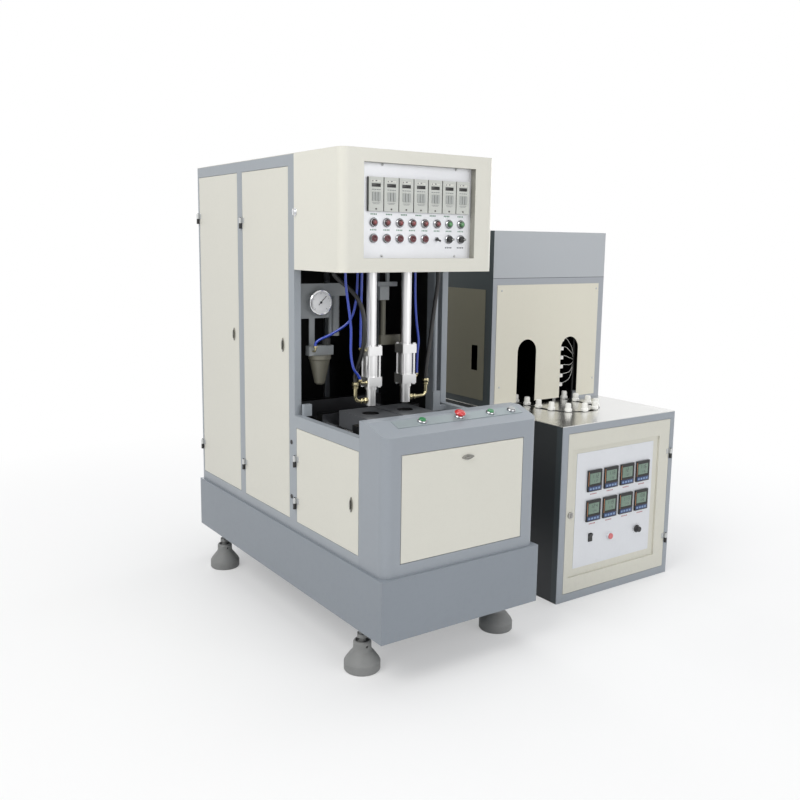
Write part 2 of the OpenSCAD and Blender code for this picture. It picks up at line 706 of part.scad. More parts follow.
// Press: blowing unit
module at_cylinders() for (s = [-1, 1]) translate([mid_x + s * cyl_pitch / 2, cyl_y, 0]) children();
module square_head(h) difference() {
    intersection() {
        translate([-head_w / 2, -head_w / 2, 0]) cube([head_w, head_w, h]);
        cylinder(r = head_w / 2 * 1.32, h = h, $fn = 96);
    }
    for (x = [-1, 1], y = [-1, 1]) translate([x, y, 0] * (head_w / 2 - 9))
        translate([0, 0, -eps]) cylinder(d = 8, h = h + 2 * eps);
}
module blow_cylinders() color("whitesmoke") set_place() at_cylinders() {
    // Lower head and sleeve
    difference() {
        union() {
            translate([0, 0, low_head_z]) square_head(low_head_h);
            translate([0, 0, low_head_z - sleeve_h]) cylinder(d = sleeve_d, h = sleeve_h);
            translate([0, 0, low_head_z - 14]) cylinder(d = sleeve_d + 8, h = 14);
        }
        translate([0, 0, low_head_z - sleeve_h - eps]) cylinder(d = nozzle_d + 2 * fit, h = 200);
    }
    // Barrel
    translate([0, 0, low_head_z + low_head_h]) difference() {
        cylinder(d = barrel_d, h = barrel_h);
        translate([0, 0, -eps]) cylinder(d = barrel_bore, h = barrel_h + 2 * eps);
    }
    // Upper head
    difference() {
        translate([0, 0, top_head_z]) square_head(top_head_h);
        translate([0, 0, top_head_z - eps]) cylinder(d = rod_d + 2 * fit, h = top_head_h + 2 * eps);
    }
    // Long tube of the stretch cylinder
    translate([0, 0, tube_z]) difference() {
        cylinder(d = tube_d, h = carrier_z + carrier_t - tube_z);
        translate([0, 0, -eps]) cylinder(d = tube_bore, h = carrier_z + carrier_t - tube_z - 5);
    }
    // Tie rods with their nuts
    for (x = [-1, 1], y = [-1, 1]) translate([x * (head_w / 2 - 9), y * (head_w / 2 - 9), 0]) {
        translate([0, 0, low_head_z - 4]) cylinder(d = 8, h = tube_z - low_head_z + 8);
        translate([0, 0, low_head_z - 5]) cylinder(d = 12, h = 5, $fn = 6);
        translate([0, 0, tube_z]) cylinder(d = 12, h = 5, $fn = 6);
    }
}
nozzle_stroke = 20;
nozzle_z = low_head_z - sleeve_h - 6;
piston_h = 14;
module blow_nozzles() color("silver") set_place() at_cylinders() difference() {
    union() {
        translate([0, 0, nozzle_z]) rotate_extrude() polygon([[0, 0], [nozzle_d / 2 - 5, 0],
            [nozzle_d / 2, 6], [nozzle_d / 2, low_head_z + low_head_h + nozzle_stroke + 3 - nozzle_z],
            [0, low_head_z + low_head_h + nozzle_stroke + 3 - nozzle_z]]);
        translate([0, 0, low_head_z + low_head_h + nozzle_stroke + 3])
            cylinder(d = barrel_bore - 2 * fit, h = piston_h);
    }
    translate([0, 0, nozzle_z - eps]) cylinder(d = rod_d + 2 * fit, h = 300);
}
stretch_stroke = 220;
module stretch_rods() color("gainsboro") set_place() at_cylinders() {
    translate([0, 0, nozzle_z + 8]) cylinder(d = rod_d, h = carrier_z - nozzle_z - 58);
    translate([0, 0, carrier_z - 50]) cylinder(d = tube_bore - 2 * fit, h = 24);
}

// Brass fittings: horizontal arm from a face, then an upright that takes the hose
module elbow(x0, x1, y, z, top, d, nut) {
    translate([min(x0, x1), y, z]) rotate([0, 90, 0]) cylinder(d = d, h = abs(x1 - x0));
    translate([x1, y, z]) sphere(d = d);
    translate([x1, y, z]) cylinder(d = d, h = top - z);
    translate([x1, y, top - nut * 0.7]) cylinder(d = nut, h = nut * 0.7, $fn = 6);
    translate([x0 + (x1 > x0 ? 4 : -4 - nut * 0.5), y, z]) rotate([0, 90, 0])
        cylinder(d = nut, h = nut * 0.5, $fn = 6);
}
module brass_fittings() color("goldenrod") set_place() {
    left_x = mid_x - cyl_pitch / 2;
    right_x = mid_x + cyl_pitch / 2;
    elbow(left_x - sleeve_d / 2, black_left[0][0], cyl_y, low_head_z - 55, black_left[0][2], 14, 22);
    elbow(right_x + sleeve_d / 2, black_right[0][0], cyl_y, low_head_z - 58, black_right[0][2], 14, 22);
    elbow(left_x - head_w / 2, blue_low_left[0][0], blue_low_left[0][1], low_head_z + 18,
        blue_low_left[0][2], 8, 13);
    elbow(left_x - head_w / 2, blue_top_left[0][0], blue_top_left[0][1], top_head_z + 17,
        blue_top_left[0][2], 8, 13);
    elbow(right_x + head_w / 2, blue_right[0][0], blue_right[0][1], low_head_z + 18,
        blue_right[0][2], 8, 13);
    // Fitting on the filter head
    translate([blue_branch[0][0], blue_branch[0][1], filter_z + 18]) {
        rotate([-90, 0, 0]) cylinder(d = 8, h = filter_y - blue_branch[0][1]);
        sphere(d = 8);
        cylinder(d = 8, h = blue_branch[0][2] - filter_z - 18);
        translate([0, 0, blue_branch[0][2] - filter_z - 27]) cylinder(d = 13, h = 9, $fn = 6);
    }
}

// Round hose swept along a smooth curve through its points
function curve(a, b, c, d, t) = 0.5 * ((2 * b) + (c - a) * t + (2 * a - 5 * b + 4 * c - d) * t * t
    + (3 * b - a - 3 * c + d) * t * t * t);
function spline(p, n) = [for (i = [0:len(p) - 2], k = [0:n - 1])
    curve(i > 0 ? p[i - 1] : p[i], p[i], p[i + 1], i < len(p) - 2 ? p[i + 2] : p[i + 1], k / n),
    p[len(p) - 1]];
function unit(v) = v / norm(v);
function direction(q, i) = i == 0 || i == len(q) - 1 ? [0, 0, 1] : unit(q[i + 1] - q[i - 1]);
// Ring about a point, square to the direction d that the hose runs in
function hose_ring(c, d, r, sides) = let (u = unit(cross([0, 1, 0], d)), v = cross(d, u))
    [for (k = [0:sides - 1]) c + r * (cos(360 * k / sides) * u + sin(360 * k / sides) * v)];
module hose(points, d, n = 1, sides = 10) {
    q = spline(points, n);
    rings = [for (i = [0:len(q) - 1]) hose_ring(q[i], direction(q, i), d / 2, sides)];
    polyhedron(points = [for (r = rings, p = r) p], convexity = 8, faces = concat(
        [[for (k = [0:sides - 1]) k]],
        [for (i = [0:len(q) - 2], k = [0:sides - 1]) [i * sides + k, (i + 1) * sides + k,
            (i + 1) * sides + (k + 1) % sides, i * sides + (k + 1) % sides]],
        [[for (k = [sides - 1:-1:0]) (len(q) - 1) * sides + k]]));
}
module black_hoses() color("black") set_place() {
    hose(black_left, black_hose_d, 2);
    hose(black_right, black_hose_d);
}
module blue_hoses() color("blue") set_place() {
    hose(blue_low_left, blue_hose_d, 2);
    hose(blue_top_left, blue_hose_d);
    hose(blue_branch, blue_hose_d, 2);
    hose(blue_right, blue_hose_d);
}

// Press: air service unit and gauge, behind the corner post
gauge_x = 138;
gauge_z = hood_z - 126;
gauge_d = 98;
gauge_t = 30;
service_y = mid_door_y0;
filter_y = service_y - 31;
guide_y = cyl_y + 66;
module pressure_gauge() color("whitesmoke") set_place() translate([gauge_x, service_y, gauge_z])
    rotate([90, 0, 0]) difference() {
        rotate_extrude($fn = 72) polygon([[0, 0], [gauge_d / 2 - 6, 0], [gauge_d / 2 - 6, gauge_t - 12],
            [gauge_d / 2, gauge_t - 9], [gauge_d / 2, gauge_t - 2], [gauge_d / 2 - 2, gauge_t],
            [gauge_d / 2 - 6, gauge_t], [gauge_d / 2 - 6, gauge_t - 6], [0, gauge_t - 6]]);
        translate([0, 0, gauge_t - 12]) cylinder(d = 3 + 2 * fit, h = 12);
    }
module gauge_needle() color("black") set_place() translate([gauge_x, service_y, gauge_z])
    rotate([90, 0, 0]) {
        translate([0, 0, gauge_t - 11]) cylinder(d = 3, h = 7);
        translate([0, 0, gauge_t - 5]) cylinder(d = 9, h = 2);
        rotate([0, 0, 45]) translate([-14, -1, gauge_t - 5]) cube([48, 2, 1]);
    }
module air_service_unit() color("slategray") set_place() {
    // Bracket of the gauge, with the bar that ties it to the air tube
    box(body_x0 + door_t + seat, 190, service_y, service_y + 4, gauge_z - 62, gauge_z + 71);
    box(190, 264, service_y, service_y + 24, gauge_z + 22, gauge_z + 71);
    box(191, 202, service_y + 4, service_y + 15, gauge_z - 133, gauge_z + 22);
    // Air tube with its rings
    translate([225, service_y + 20, gauge_z - 135]) difference() {
        cylinder(d = 36, h = 157);
        for (z = [14:18:140]) translate([0, 0, z]) rotate_extrude() translate([17, 0]) square([3, 3]);
    }
    box(100, 124, service_y, service_y + 4, filter_z + 6, gauge_z - 62);
    // Filter head and bowl
    box(84, 190, filter_y, service_y, filter_z, filter_z + 37);
    translate([137, filter_y + 15, filter_z - 114]) rotate_extrude($fn = 64) polygon([[0, 0], [14, 0],
        [20, 6], [40, 96], [44, 100], [44, 114], [0, 114]]);
    // Guide between the cylinders, hung from the plate that carries them
    box(378, 390, guide_y - 6, guide_y + 6, hood_z - 47, carrier_z);
    box(336, 426, guide_y - 8, guide_y + 8, hood_z - 64, hood_z - 47);
    box(342, 384, guide_y - 14, guide_y + 14, hood_z - 117, hood_z - 64);
    translate([366, guide_y, hood_z - 254]) cylinder(d = 20, h = 137);
    box(352, 444, guide_y - 8, guide_y + 8, hood_z - 292, hood_z - 254);
}
module regulator_knob() color("white") set_place() translate([165, filter_y + 14, filter_z + 37 + seat])
    difference() {
        cylinder(d = 34, h = 26);
        for (a = [0:30:330]) rotate([0, 0, a]) translate([18.2, 0, -eps]) cylinder(d = 5, h = 22);
    }

// Press: clamp and moulds
tie_places = [for (s = [-1, 1], z = [55, platen_h - 55]) [mid_x + s * tie_x, bed_top + z]];
module tie_holes(y, depth, gap) for (p = tie_places) translate([p[0], y - eps, p[1]])
    into(tie_d + 2 * gap, depth + 2 * eps);
clamp_z = bed_top + platen_h / 2;
module clamp_bed() color("slategray") set_place() {
    difference() {
        union() {
            for (s = [-1, 1]) box(mid_x + s * 175 - 25, mid_x + s * 175 + 25, front_platen_y - 40,
                end_plate_y + platen_t, base_top, bed_top);
            box(mid_x - platen_w / 2, mid_x + platen_w / 2, front_platen_y, front_platen_y + platen_t,
                bed_top, bed_top + platen_h);
            box(mid_x - platen_w / 2, mid_x + platen_w / 2, end_plate_y, end_plate_y + platen_t,
                bed_top, bed_top + platen_h);
        }
        tie_holes(front_platen_y, platen_t, 0);
        tie_holes(end_plate_y, platen_t, 0);
        translate([mid_x, end_plate_y - eps, clamp_z]) into(clamp_rod_d + 2 * fit, platen_t + 2 * eps);
    }
}
module tie_bars() color("silver") set_place() for (p = tie_places) translate([p[0], 0, p[1]]) {
    into(tie_d, end_plate_y + platen_t - front_platen_y, front_platen_y);
    for (y = [front_platen_y - 26, end_plate_y + platen_t]) into(tie_d * 1.5, 26, y, $fn = 6);
}
module moving_platen() color("slategray") set_place() {
    y0 = cyl_y + mould_t;
    difference() {
        box(mid_x - platen_w / 2, mid_x + platen_w / 2, y0, y0 + platen_t,
            bed_top + seat, bed_top + platen_h);
        tie_holes(y0, platen_t, fit);
    }
    translate([mid_x, 0, clamp_z]) {
        into(clamp_rod_d + 24, 12, y0 + platen_t);
        into(clamp_rod_d, end_plate_y + platen_t + 60 - y0 - platen_t, y0 + platen_t);
        into(clamp_bore - 2 * fit, 20, end_plate_y + platen_t + 40);
    }
}
module clamp_cylinder() color("gainsboro") set_place()
    translate([mid_x, end_plate_y + platen_t, clamp_z]) rotate([-90, 0, 0]) difference() {
        union() {
            cylinder(d = clamp_d, h = clamp_len, $fn = 72);
            for (z = [0, clamp_len - 30]) translate([-clamp_d / 2 - 6, -clamp_d / 2 - 6, z])
                cube([clamp_d + 12, clamp_d + 12, 30]);
        }
        translate([0, 0, -eps]) cylinder(d = clamp_rod_d + 2 * fit, h = 40);
        translate([0, 0, 30]) cylinder(d = clamp_bore, h = clamp_len - 42, $fn = 72);
        for (z = [15, clamp_len - 15]) translate([0, 0, z]) rotate([-90, 0, 0])
            rotate([180, 0, 0]) cylinder(d = 14, h = clamp_d);
    }
// One half of both moulds, cut by the parting plane through the bottle's axis
part_gap = 0.15;
module mould_pair(side) for (s = [-1, 1]) translate([mid_x + s * cyl_pitch / 2, cyl_y, mould_z - mould_h])
    difference() {
        translate([-mould_w / 2, side < 0 ? -mould_t : part_gap, 0])
            cube([mould_w, mould_t - part_gap, mould_h]);
        rotate_extrude($fn = 64) polygon([[0, 30], [38, 30], [44, 38], [44, 190], [40, 210],
            [24, 240], [14, 256], [14, mould_h - 8], [33, mould_h - 8], [33, mould_h + 1], [0, mould_h + 1]]);
        for (z = [60, 150, 230], x = [-58, 58]) translate([x, side * mould_t - side * 20, z])
            into(10, 41, -20.5);
    }
module front_moulds() color("silver") set_place() mould_pair(-1);
module rear_moulds() color("silver") set_place() mould_pair(1);

// Heater: cabinet, table and column
module heater_hinge_side() translate([door_left + heater_door_w, 0, door_sill]) mirror([1, 0, 0]) children();
heater_hinges = [134, 531];
beam_z = chain_z - 40;
module heater_cabinet() color("lightsteelblue") heater_place() {
    difference() {
        cube([heater_w, heater_len, table_h - table_t]);
        translate([heater_wall, 30, heater_wall])
            cube([heater_w - 2 * heater_wall, heater_len - 30 - heater_wall, table_h]);
        translate([door_left - door_gap, -eps, door_sill - door_gap])
            cube([heater_door_w + 2 * door_gap, 30 + 2 * eps, heater_door_h + 2 * door_gap]);
        translate([door_left - 16, cam_y - 2, heater_lock_z - 12]) cube([16, 9, 24]);
    }
    // Cross beams that carry the chain wheels
    for (y = [turn_y, turn_y + run_len]) translate([heater_wall, y - 30, beam_z])
        cube([heater_w - 2 * heater_wall, 60, 30]);
}
module racetrack(r) {
    translate([heater_mid, turn_y]) circle(r, $fn = 128);
    translate([heater_mid, turn_y + run_len]) circle(r, $fn = 128);
    translate([heater_mid - r, turn_y]) square([2 * r, run_len]);
}
module heater_table() color("gainsboro") heater_place() translate([0, 0, table_h - table_t])
    linear_extrude(table_t) {
        difference() {
            square([heater_w, heater_len]);
            racetrack(run_x + slot_w / 2);
        }
        racetrack(run_x - slot_w / 2);
    }
module arch(x, grow = 0) {
    translate([x, table_h + arch_spring]) circle(d = arch_w + grow, $fn = 64);
    translate([x - (arch_w + grow) / 2, table_h - 1]) square([arch_w + grow, arch_spring + 1]);
}
module heater_column() color("lightslategray") heater_place() difference() {
    translate([0, column_y, table_h]) cube([heater_w, heater_len - column_y, heater_h - table_h]);
    translate([heater_wall, column_y + 28, table_h - eps])
        cube([heater_w - 2 * heater_wall, heater_len - column_y - 28 - heater_wall,
            heater_h - table_h - heater_wall + eps]);
    // Front opening behind the arched panel
    translate([panel_edge + 24, column_y - eps, table_h + panel_z + 20])
        cube([heater_w - 2 * panel_edge - 58, 30, panel_h - 44]);
    box(heater_mid - run_x, heater_mid + run_x, column_y - eps, column_y + 30,
        table_h - eps, table_h + panel_z + 21);
    rotate([90, 0, 0]) translate([0, 0, -column_y - 30]) linear_extrude(32) {
        arch(heater_mid - run_x, 8);
        arch(heater_mid + run_x, 8);
    }
    // Side opening behind the side panel
    translate([-eps, column_y + 76, table_h + 60])
        cube([heater_wall + 2 * eps, heater_len - column_y - 120, 440]);
    for (i = [0:11]) translate([heater_mid - 180, heater_len - heater_wall - eps, heater_h - 90 - i * 14])
        cube([360, heater_wall + 2 * eps, 6]);
}
module arched_panel() color("beige") heater_place() difference() {
    rotate([90, 0, 0]) translate([0, 0, -column_y]) linear_extrude(panel_t) difference() {
        translate([panel_edge, table_h + panel_z]) square([heater_w - 2 * panel_edge - 10, panel_h]);
        arch(heater_mid - run_x);
        arch(heater_mid + run_x);
    }
    for (x = [panel_edge + 26, heater_w - panel_edge - 26], z = [93, panel_h + panel_z - 25]) translate([x, column_y - panel_t - eps, table_h + z])
        into(5, panel_t - 0.8);
}
module column_side_panel() color("beige") heater_place() difference() {
    translate([-panel_t, column_y + 48, table_h + 30])
        cube([panel_t, heater_len - column_y - 62, 500]);
    translate([-panel_t - eps, column_y + 92, table_h + 162]) cube([panel_t + 2 * eps, 43, 115]);
}

// Heater: conveyor
module chain_wheels() color("dimgray") heater_place() for (y = [turn_y, turn_y + run_len])
    translate([heater_mid, y, 0]) {
        translate([0, 0, beam_z + 30]) cylinder(d = 36, h = table_h - table_t - beam_z - 30);
        translate([0, 0, chain_z + 4]) difference() {
            cylinder(r = run_x - chain_t / 2 - seat, h = 12, $fn = 128);
            for (a = [0:60:300]) rotate([0, 0, a]) translate([72, 0, -eps]) cylinder(d = 44, h = 14);
        }
    }
module conveyor_chain() color("gray") heater_place() translate([0, 0, chain_z])
    linear_extrude(chain_h) difference() {
        racetrack(run_x + chain_t / 2);
        racetrack(run_x - chain_t / 2);
    }
// Place and turn of a holder at the distance s along the closed track
turn_len = PI * run_x;
loop_len = 2 * (turn_len + run_len);
function on_loop(s) = s < turn_len
    ? [heater_mid - run_x * cos(s / run_x * 180 / PI), turn_y - run_x * sin(s / run_x * 180 / PI)]
    : s < turn_len + run_len ? [heater_mid + run_x, turn_y + s - turn_len]
    : s < 2 * turn_len + run_len ? let (t = (s - turn_len - run_len) / run_x * 180 / PI)
        [heater_mid + run_x * cos(t), turn_y + run_len + run_x * sin(t)]
    : [heater_mid - run_x, turn_y + run_len - (s - 2 * turn_len - run_len)];
module preform_holders() color("ivory") heater_place()
    for (i = [0:holder_count - 1]) let (p = on_loop((i + 0.5) * loop_len / holder_count))
        translate([p[0], p[1], 0]) {
            translate([0, 0, chain_z + chain_h]) cylinder(d = 10, h = holder_base - chain_z - chain_h);
            translate([0, 0, holder_base]) rotate_extrude($fn = 24) polygon([[0, 0],
                [holder_d / 2, 0], [holder_d / 2, 10], [holder_d / 2 - 4, 14],
                [holder_d / 2 - 4, holder_h - 8], [holder_d / 2 - 6, holder_h - 2], [0, holder_h - 2]]);
        }
lamp_z0 = 72;
rack_y0 = column_y + 34;
rack_y1 = turn_y + run_len;
rack_x = [heater_mid - run_x - 82, heater_mid + run_x - 66];
module lamp_racks() color("whitesmoke") heater_place() for (x = rack_x) {
    // Reflector that stands on the table
    translate([x, rack_y0, table_h]) cube([3, rack_y1 - rack_y0, lamp_z0 + lamp_rows * lamp_step]);
    for (i = [0:lamp_rows - 1]) translate([x + 3, 0, table_h + lamp_z0 + i * lamp_step]) {
        for (y = [rack_y0, rack_y1 - 26]) difference() {
            translate([0, y, -9]) cube([20, 26, 18]);
            translate([11, y + (y == rack_y0 ? 4 : -eps), 0]) into(tube_lamp_d, 22 + eps);
        }
        translate([11, 0, 0]) into(tube_lamp_d, rack_y1 - rack_y0 - 8, rack_y0 + 4);
    }
}

// Heater: door and controls
heater_lock_x = 24;
heater_lock_z = 378;
pan_x0 = 62;
pan_x1 = 605;
pan_z0 = 102;
pan_z1 = 655;
pan_d = 8;
heater_plate_y = pan_d - 2;
module heater_door() color("ivory") heater_place() {
    translate([door_left, 0, door_sill]) {
        difference() {
            union() {
                difference() {
                    cube([heater_door_w, door_t, heater_door_h]);
                    translate([sheet, sheet, sheet])
                        cube([heater_door_w - 2 * sheet, door_t, heater_door_h - 2 * sheet]);
                }
                box(pan_x0 - door_left - sheet, pan_x1 - door_left + sheet, sheet / 2, pan_d + sheet,
                    pan_z0 - door_sill - sheet, pan_z1 - door_sill + sheet);
            }
            box(pan_x0 - door_left, pan_x1 - door_left, -eps, pan_d,
                pan_z0 - door_sill, pan_z1 - door_sill);
            translate([-door_left, 0, -door_sill]) rocker_hole(pan_d - eps, sheet + 2 * eps);
            translate([heater_lock_x, -eps, heater_lock_z - door_sill]) into(12 + 2 * fit, door_t);
        }
    }
    heater_hinge_side() for (z = heater_hinges) hinge_moving(z);
}
module heater_door_lock() color("silver") heater_place()
    translate([door_left + heater_lock_x, 0, heater_lock_z]) {
        difference() {
            into(28, 5, -5 - seat);
            translate([-2, -6.5, -9]) cube([4, 4, 18]);
        }
        into(12, cam_y + cam_t + 2 + seat, -seat);
        difference() {
            translate([-cam_w / 2, cam_y, cam_w / 2 - 34]) cube([cam_w, cam_t, 34]);
            translate([0, cam_y - eps, 0]) into(12, cam_t + 2 * eps);
        }
    }
rocker_at = [193, heater_plate_y, 257];
button_at = [312, heater_plate_y, 243];
module rocker_hole(y, depth) translate([rocker_at[0] - 11.5, y, rocker_at[2] - 19]) cube([23, depth, 38]);
module heater_control_plate() color("gainsboro") heater_place() {
    difference() {
        box(95, 572, heater_plate_y, pan_d, 135, 635);
        rocker_hole(heater_plate_y - eps, 2 + 2 * eps);
    }
    translate(button_at) ring(26);
    for (x = [240, 430], z = [146, 624]) translate([x, heater_plate_y - 1.5, z]) into(7, 1.5);
}
ctrl_x0 = 160;
ctrl_z0 = 331;
ctrl_t = 8;
module temperature_controllers() color("darkslategray") heater_place()
    for (i = [0:3], j = [0:1]) translate([ctrl_x0 + i * ctrl_pitch, heater_plate_y - ctrl_t,
        ctrl_z0 + j * ctrl_row]) difference() {
            cube([ctrl_w, ctrl_t, ctrl_h]);
            translate([8, -eps, ctrl_h * 0.34]) cube([ctrl_w - 16, 2.5, ctrl_h * 0.52]);
            for (k = [0:3]) translate([10 + k * (ctrl_w - 16) / 4, -eps, 8]) cube([11, 1.5, 9]);
        }
module heater_switch() color("black") heater_place() translate(rocker_at) rotate([8, 0, 0])
    translate([-11, 0, 0]) rotate([90, 0, 90]) linear_extrude(22)
        polygon([[6, -16], [6, 16], [-6, 17], [-3, 0], [-6, -17]]);
module heater_button() color("red") heater_place() translate(button_at)
    rotate([90, 0, 0]) translate([0, 0, seat + 4]) rotate_extrude() polygon([[0, 0], [13, 0], [13, 7],
        [11, 9], [0, 9]]);
module heater_dial() color("black") heater_place() translate([489, heater_plate_y - seat, 244])
    difference() {
        rotate([90, 0, 0]) rotate_extrude() polygon([[0, 0], [17, 0], [17, 3], [13, 5], [12, 18], [0, 19]]);
        translate([-1.5, -20, 4]) cube([3, 2, 12]);
    }

base_plinth();
levelling_feet();
machine_frame();
cabinet_covers();
front_apron();
door_hinges();
control_hood();
control_plates();
timer_modules();
pilot_lamps();
switch_bezels();
hood_push_buttons();
blow_cylinders();
brass_fittings();
black_hoses();
blue_hoses();
pressure_gauge();
air_service_unit();
clamp_bed();
front_moulds();
tie_bars();
clamp_cylinder();
rear_side_door();
middle_side_door();
lower_side_door();
front_door();
rear_door_lock();
middle_door_lock();
lower_door_lock();
front_door_lock();
hood_latch();
toggle_lever();
left_selector_knob();
right_selector_knob();
left_start_button();
right_start_button();
stop_button();
reset_button();
stretch_rods();
blow_nozzles();
gauge_needle();
regulator_knob();
moving_platen();
rear_moulds();
heater_cabinet();
heater_table();
heater_column();
arched_panel();
column_side_panel();
chain_wheels();
conveyor_chain();
preform_holders();
lamp_racks();
heater_door();
heater_door_lock();
heater_control_plate();
temperature_controllers();
heater_switch();
heater_button();
heater_dial();
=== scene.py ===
import math

import bpy
from mathutils import Matrix, Vector


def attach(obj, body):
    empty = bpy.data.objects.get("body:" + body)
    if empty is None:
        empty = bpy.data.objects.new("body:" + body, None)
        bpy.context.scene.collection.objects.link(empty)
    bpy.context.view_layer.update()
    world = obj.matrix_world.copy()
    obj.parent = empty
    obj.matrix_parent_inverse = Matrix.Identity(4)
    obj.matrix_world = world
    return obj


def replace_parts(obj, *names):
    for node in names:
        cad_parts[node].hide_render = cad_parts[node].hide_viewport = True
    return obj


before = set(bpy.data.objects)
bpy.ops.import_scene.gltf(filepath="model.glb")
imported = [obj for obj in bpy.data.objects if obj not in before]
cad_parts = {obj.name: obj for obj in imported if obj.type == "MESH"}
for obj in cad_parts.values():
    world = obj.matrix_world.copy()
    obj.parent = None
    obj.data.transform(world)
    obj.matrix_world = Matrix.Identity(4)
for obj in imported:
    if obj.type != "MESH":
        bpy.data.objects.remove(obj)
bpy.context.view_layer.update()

# The camera stands where the photograph was taken from: in front of the press, to its left, a little above
# the table of the heater. Its turn and focal length come from the straight edges of both machines.
bpy.ops.object.select_all(action="DESELECT")
bpy.ops.object.camera_add(location=(-2.3812, -3.0750, 1.4954))
camera = bpy.context.object
camera.name = "photo_camera"
heading, pitch_down, roll = -0.603824, -0.152240, -0.013054
turn = Matrix.Rotation(heading, 3, "Z") @ Matrix.Rotation(pitch_down, 3, "X") @ Matrix.Rotation(roll, 3, "Y")
lens_axes = turn @ Matrix(((1, 0, 0), (0, 0, -1), (0, 1, 0)))
camera.rotation_euler = lens_axes.to_euler()
camera.data.sensor_width = 36.0
camera.data.lens = 39.69
camera.data.shift_x = 0.0032
camera.data.shift_y = -0.0284
camera.data.clip_start = 0.05
bpy.context.scene.camera = camera
bpy.context.scene.view_settings.view_transform = "Standard"


# A plain white studio floor and sweep. It is painted board, and it only catches the shadow of the machines.
# Diffuse light sees it grey enough that the pale doors do not clip; the eye and polished metal see it white.
class Wire:
    """One socket of a material's nodes, which arithmetic joins to others."""

    def __init__(self, tree, socket=None):
        self.tree = tree
        self.socket = socket

    def node(self, kind, settings=None, sockets=None, output=0):
        """Adds a node of any kind: its settings, what goes into its sockets, and which output is wanted."""
        made = self.tree.nodes.new(kind)
        for name, value in (settings or {}).items():
            setattr(made, name, value)
        for name, value in (sockets or {}).items():
            if isinstance(value, Wire):
                self.tree.links.new(value.socket, made.inputs[name])
            else:
                made.inputs[name].default_value = value
        return Wire(self.tree, made.outputs[output]) if made.outputs else None

    def maths(self, operation, first, second=0.0):
        return self.node("ShaderNodeMath", {"operation": operation}, {0: first, 1: second})

    def __add__(self, other):
        return self.maths("ADD", self, other)

    def __radd__(self, other):
        return self.maths("ADD", other, self)

    def __sub__(self, other):
        return self.maths("SUBTRACT", self, other)

    def __rsub__(self, other):
        return self.maths("SUBTRACT", other, self)

    def __mul__(self, other):
        return self.maths("MULTIPLY", self, other)

    def __rmul__(self, other):
        return self.maths("MULTIPLY", other, self)

    def __truediv__(self, other):
        return self.maths("DIVIDE", self, other)

    def __gt__(self, other):
        return self.maths("GREATER_THAN", self, other)

    def __lt__(self, other):
        return self.maths("LESS_THAN", self, other)

    def clamped(self, low=0.0, high=1.0):
        return self.node("ShaderNodeClamp", {}, {"Value": self, "Min": low, "Max": high})

    def noise(self, scale, detail, rough=0.5):
        """Cloudy noise over this place."""
        sockets = {"Vector": self, "Scale": scale, "Detail": detail, "Roughness": rough}
        return self.node("ShaderNodeTexNoise", {}, sockets)

    def bump(self, strength, distance, normal):
        """This height as relief on top of a normal."""
        sockets = {"Strength": strength, "Distance": distance, "Height": self, "Normal": normal}
        return self.node("ShaderNodeBump", {}, sockets)

    def blend(self, first, second):
        """The second colour where this mask is 1, the first where it is 0."""
        return self.node("ShaderNodeMix", {"data_type": "RGBA"}, {0: self, 6: first, 7: second}, output=2)


def paint_chip(red, green, blue):
    """A colour read off a screen, 0 to 255, as the light it stands for."""
    parts = [part / 255 for part in (red, green, blue)]
    return tuple(v / 12.92 if v < 0.0404 else ((v + 0.055) / 1.055) ** 2.4 for v in parts) + (1.0,)


def seen_directly(wire):
    """1 for the rays of the eye, of mirrors and through clear parts, 0 for the light that falls on things."""
    kinds = ("Camera", "Glossy", "Transmission")
    eye, mirror, clear = (wire.node("ShaderNodeLightPath", output="Is %s Ray" % kind) for kind in kinds)
    return (eye + mirror + clear).clamped()


world = bpy.data.worlds.new("studio")
bpy.context.scene.world = world
world.use_nodes = True
world.node_tree.nodes.clear()
sky = Wire(world.node_tree)
dim_room, white = (0.36, 0.37, 0.385, 1.0), (1.0, 1.0, 1.0, 1.0)
room_light = seen_directly(sky).blend(dim_room, white)
glow = sky.node("ShaderNodeBackground", {}, {"Color": room_light, "Strength": 1.0})
sky.node("ShaderNodeOutputWorld", {}, {"Surface": glow})

bpy.ops.mesh.primitive_plane_add(size=40.0, location=(0.0, 0.0, -0.0005))
floor = bpy.context.object
floor.name = "studio_floor"
bpy.ops.object.transform_apply(location=True, rotation=True, scale=True)
board = bpy.data.materials.new("white_board")
board.use_nodes = True
board.node_tree.nodes.clear()
board_wire = Wire(board.node_tree)
board_place = board_wire.node("ShaderNodeTexCoord", output="Object")
outward = board_wire.node("ShaderNodeVectorMath", {"operation": "LENGTH"}, {0: board_place}, output="Value")
shadow_reach, fade_width, least_white = 1.3, 2.2, 0.35
far = ((outward - shadow_reach) / fade_width).clamped()
how_white = seen_directly(board_wire) * (least_white + far * (1.0 - least_white))
board_matt = board_wire.node("ShaderNodeBsdfDiffuse", {}, {"Color": (0.90, 0.90, 0.90, 1.0)})
board_white = board_wire.node("ShaderNodeEmission", {}, {"Color": white, "Strength": 1.0})
board_mix = board_wire.node("ShaderNodeMixShader", {}, {0: how_white, 1: board_matt, 2: board_white})
board_wire.node("ShaderNodeOutputMaterial", {}, {"Surface": board_mix})
floor.data.materials.append(board)


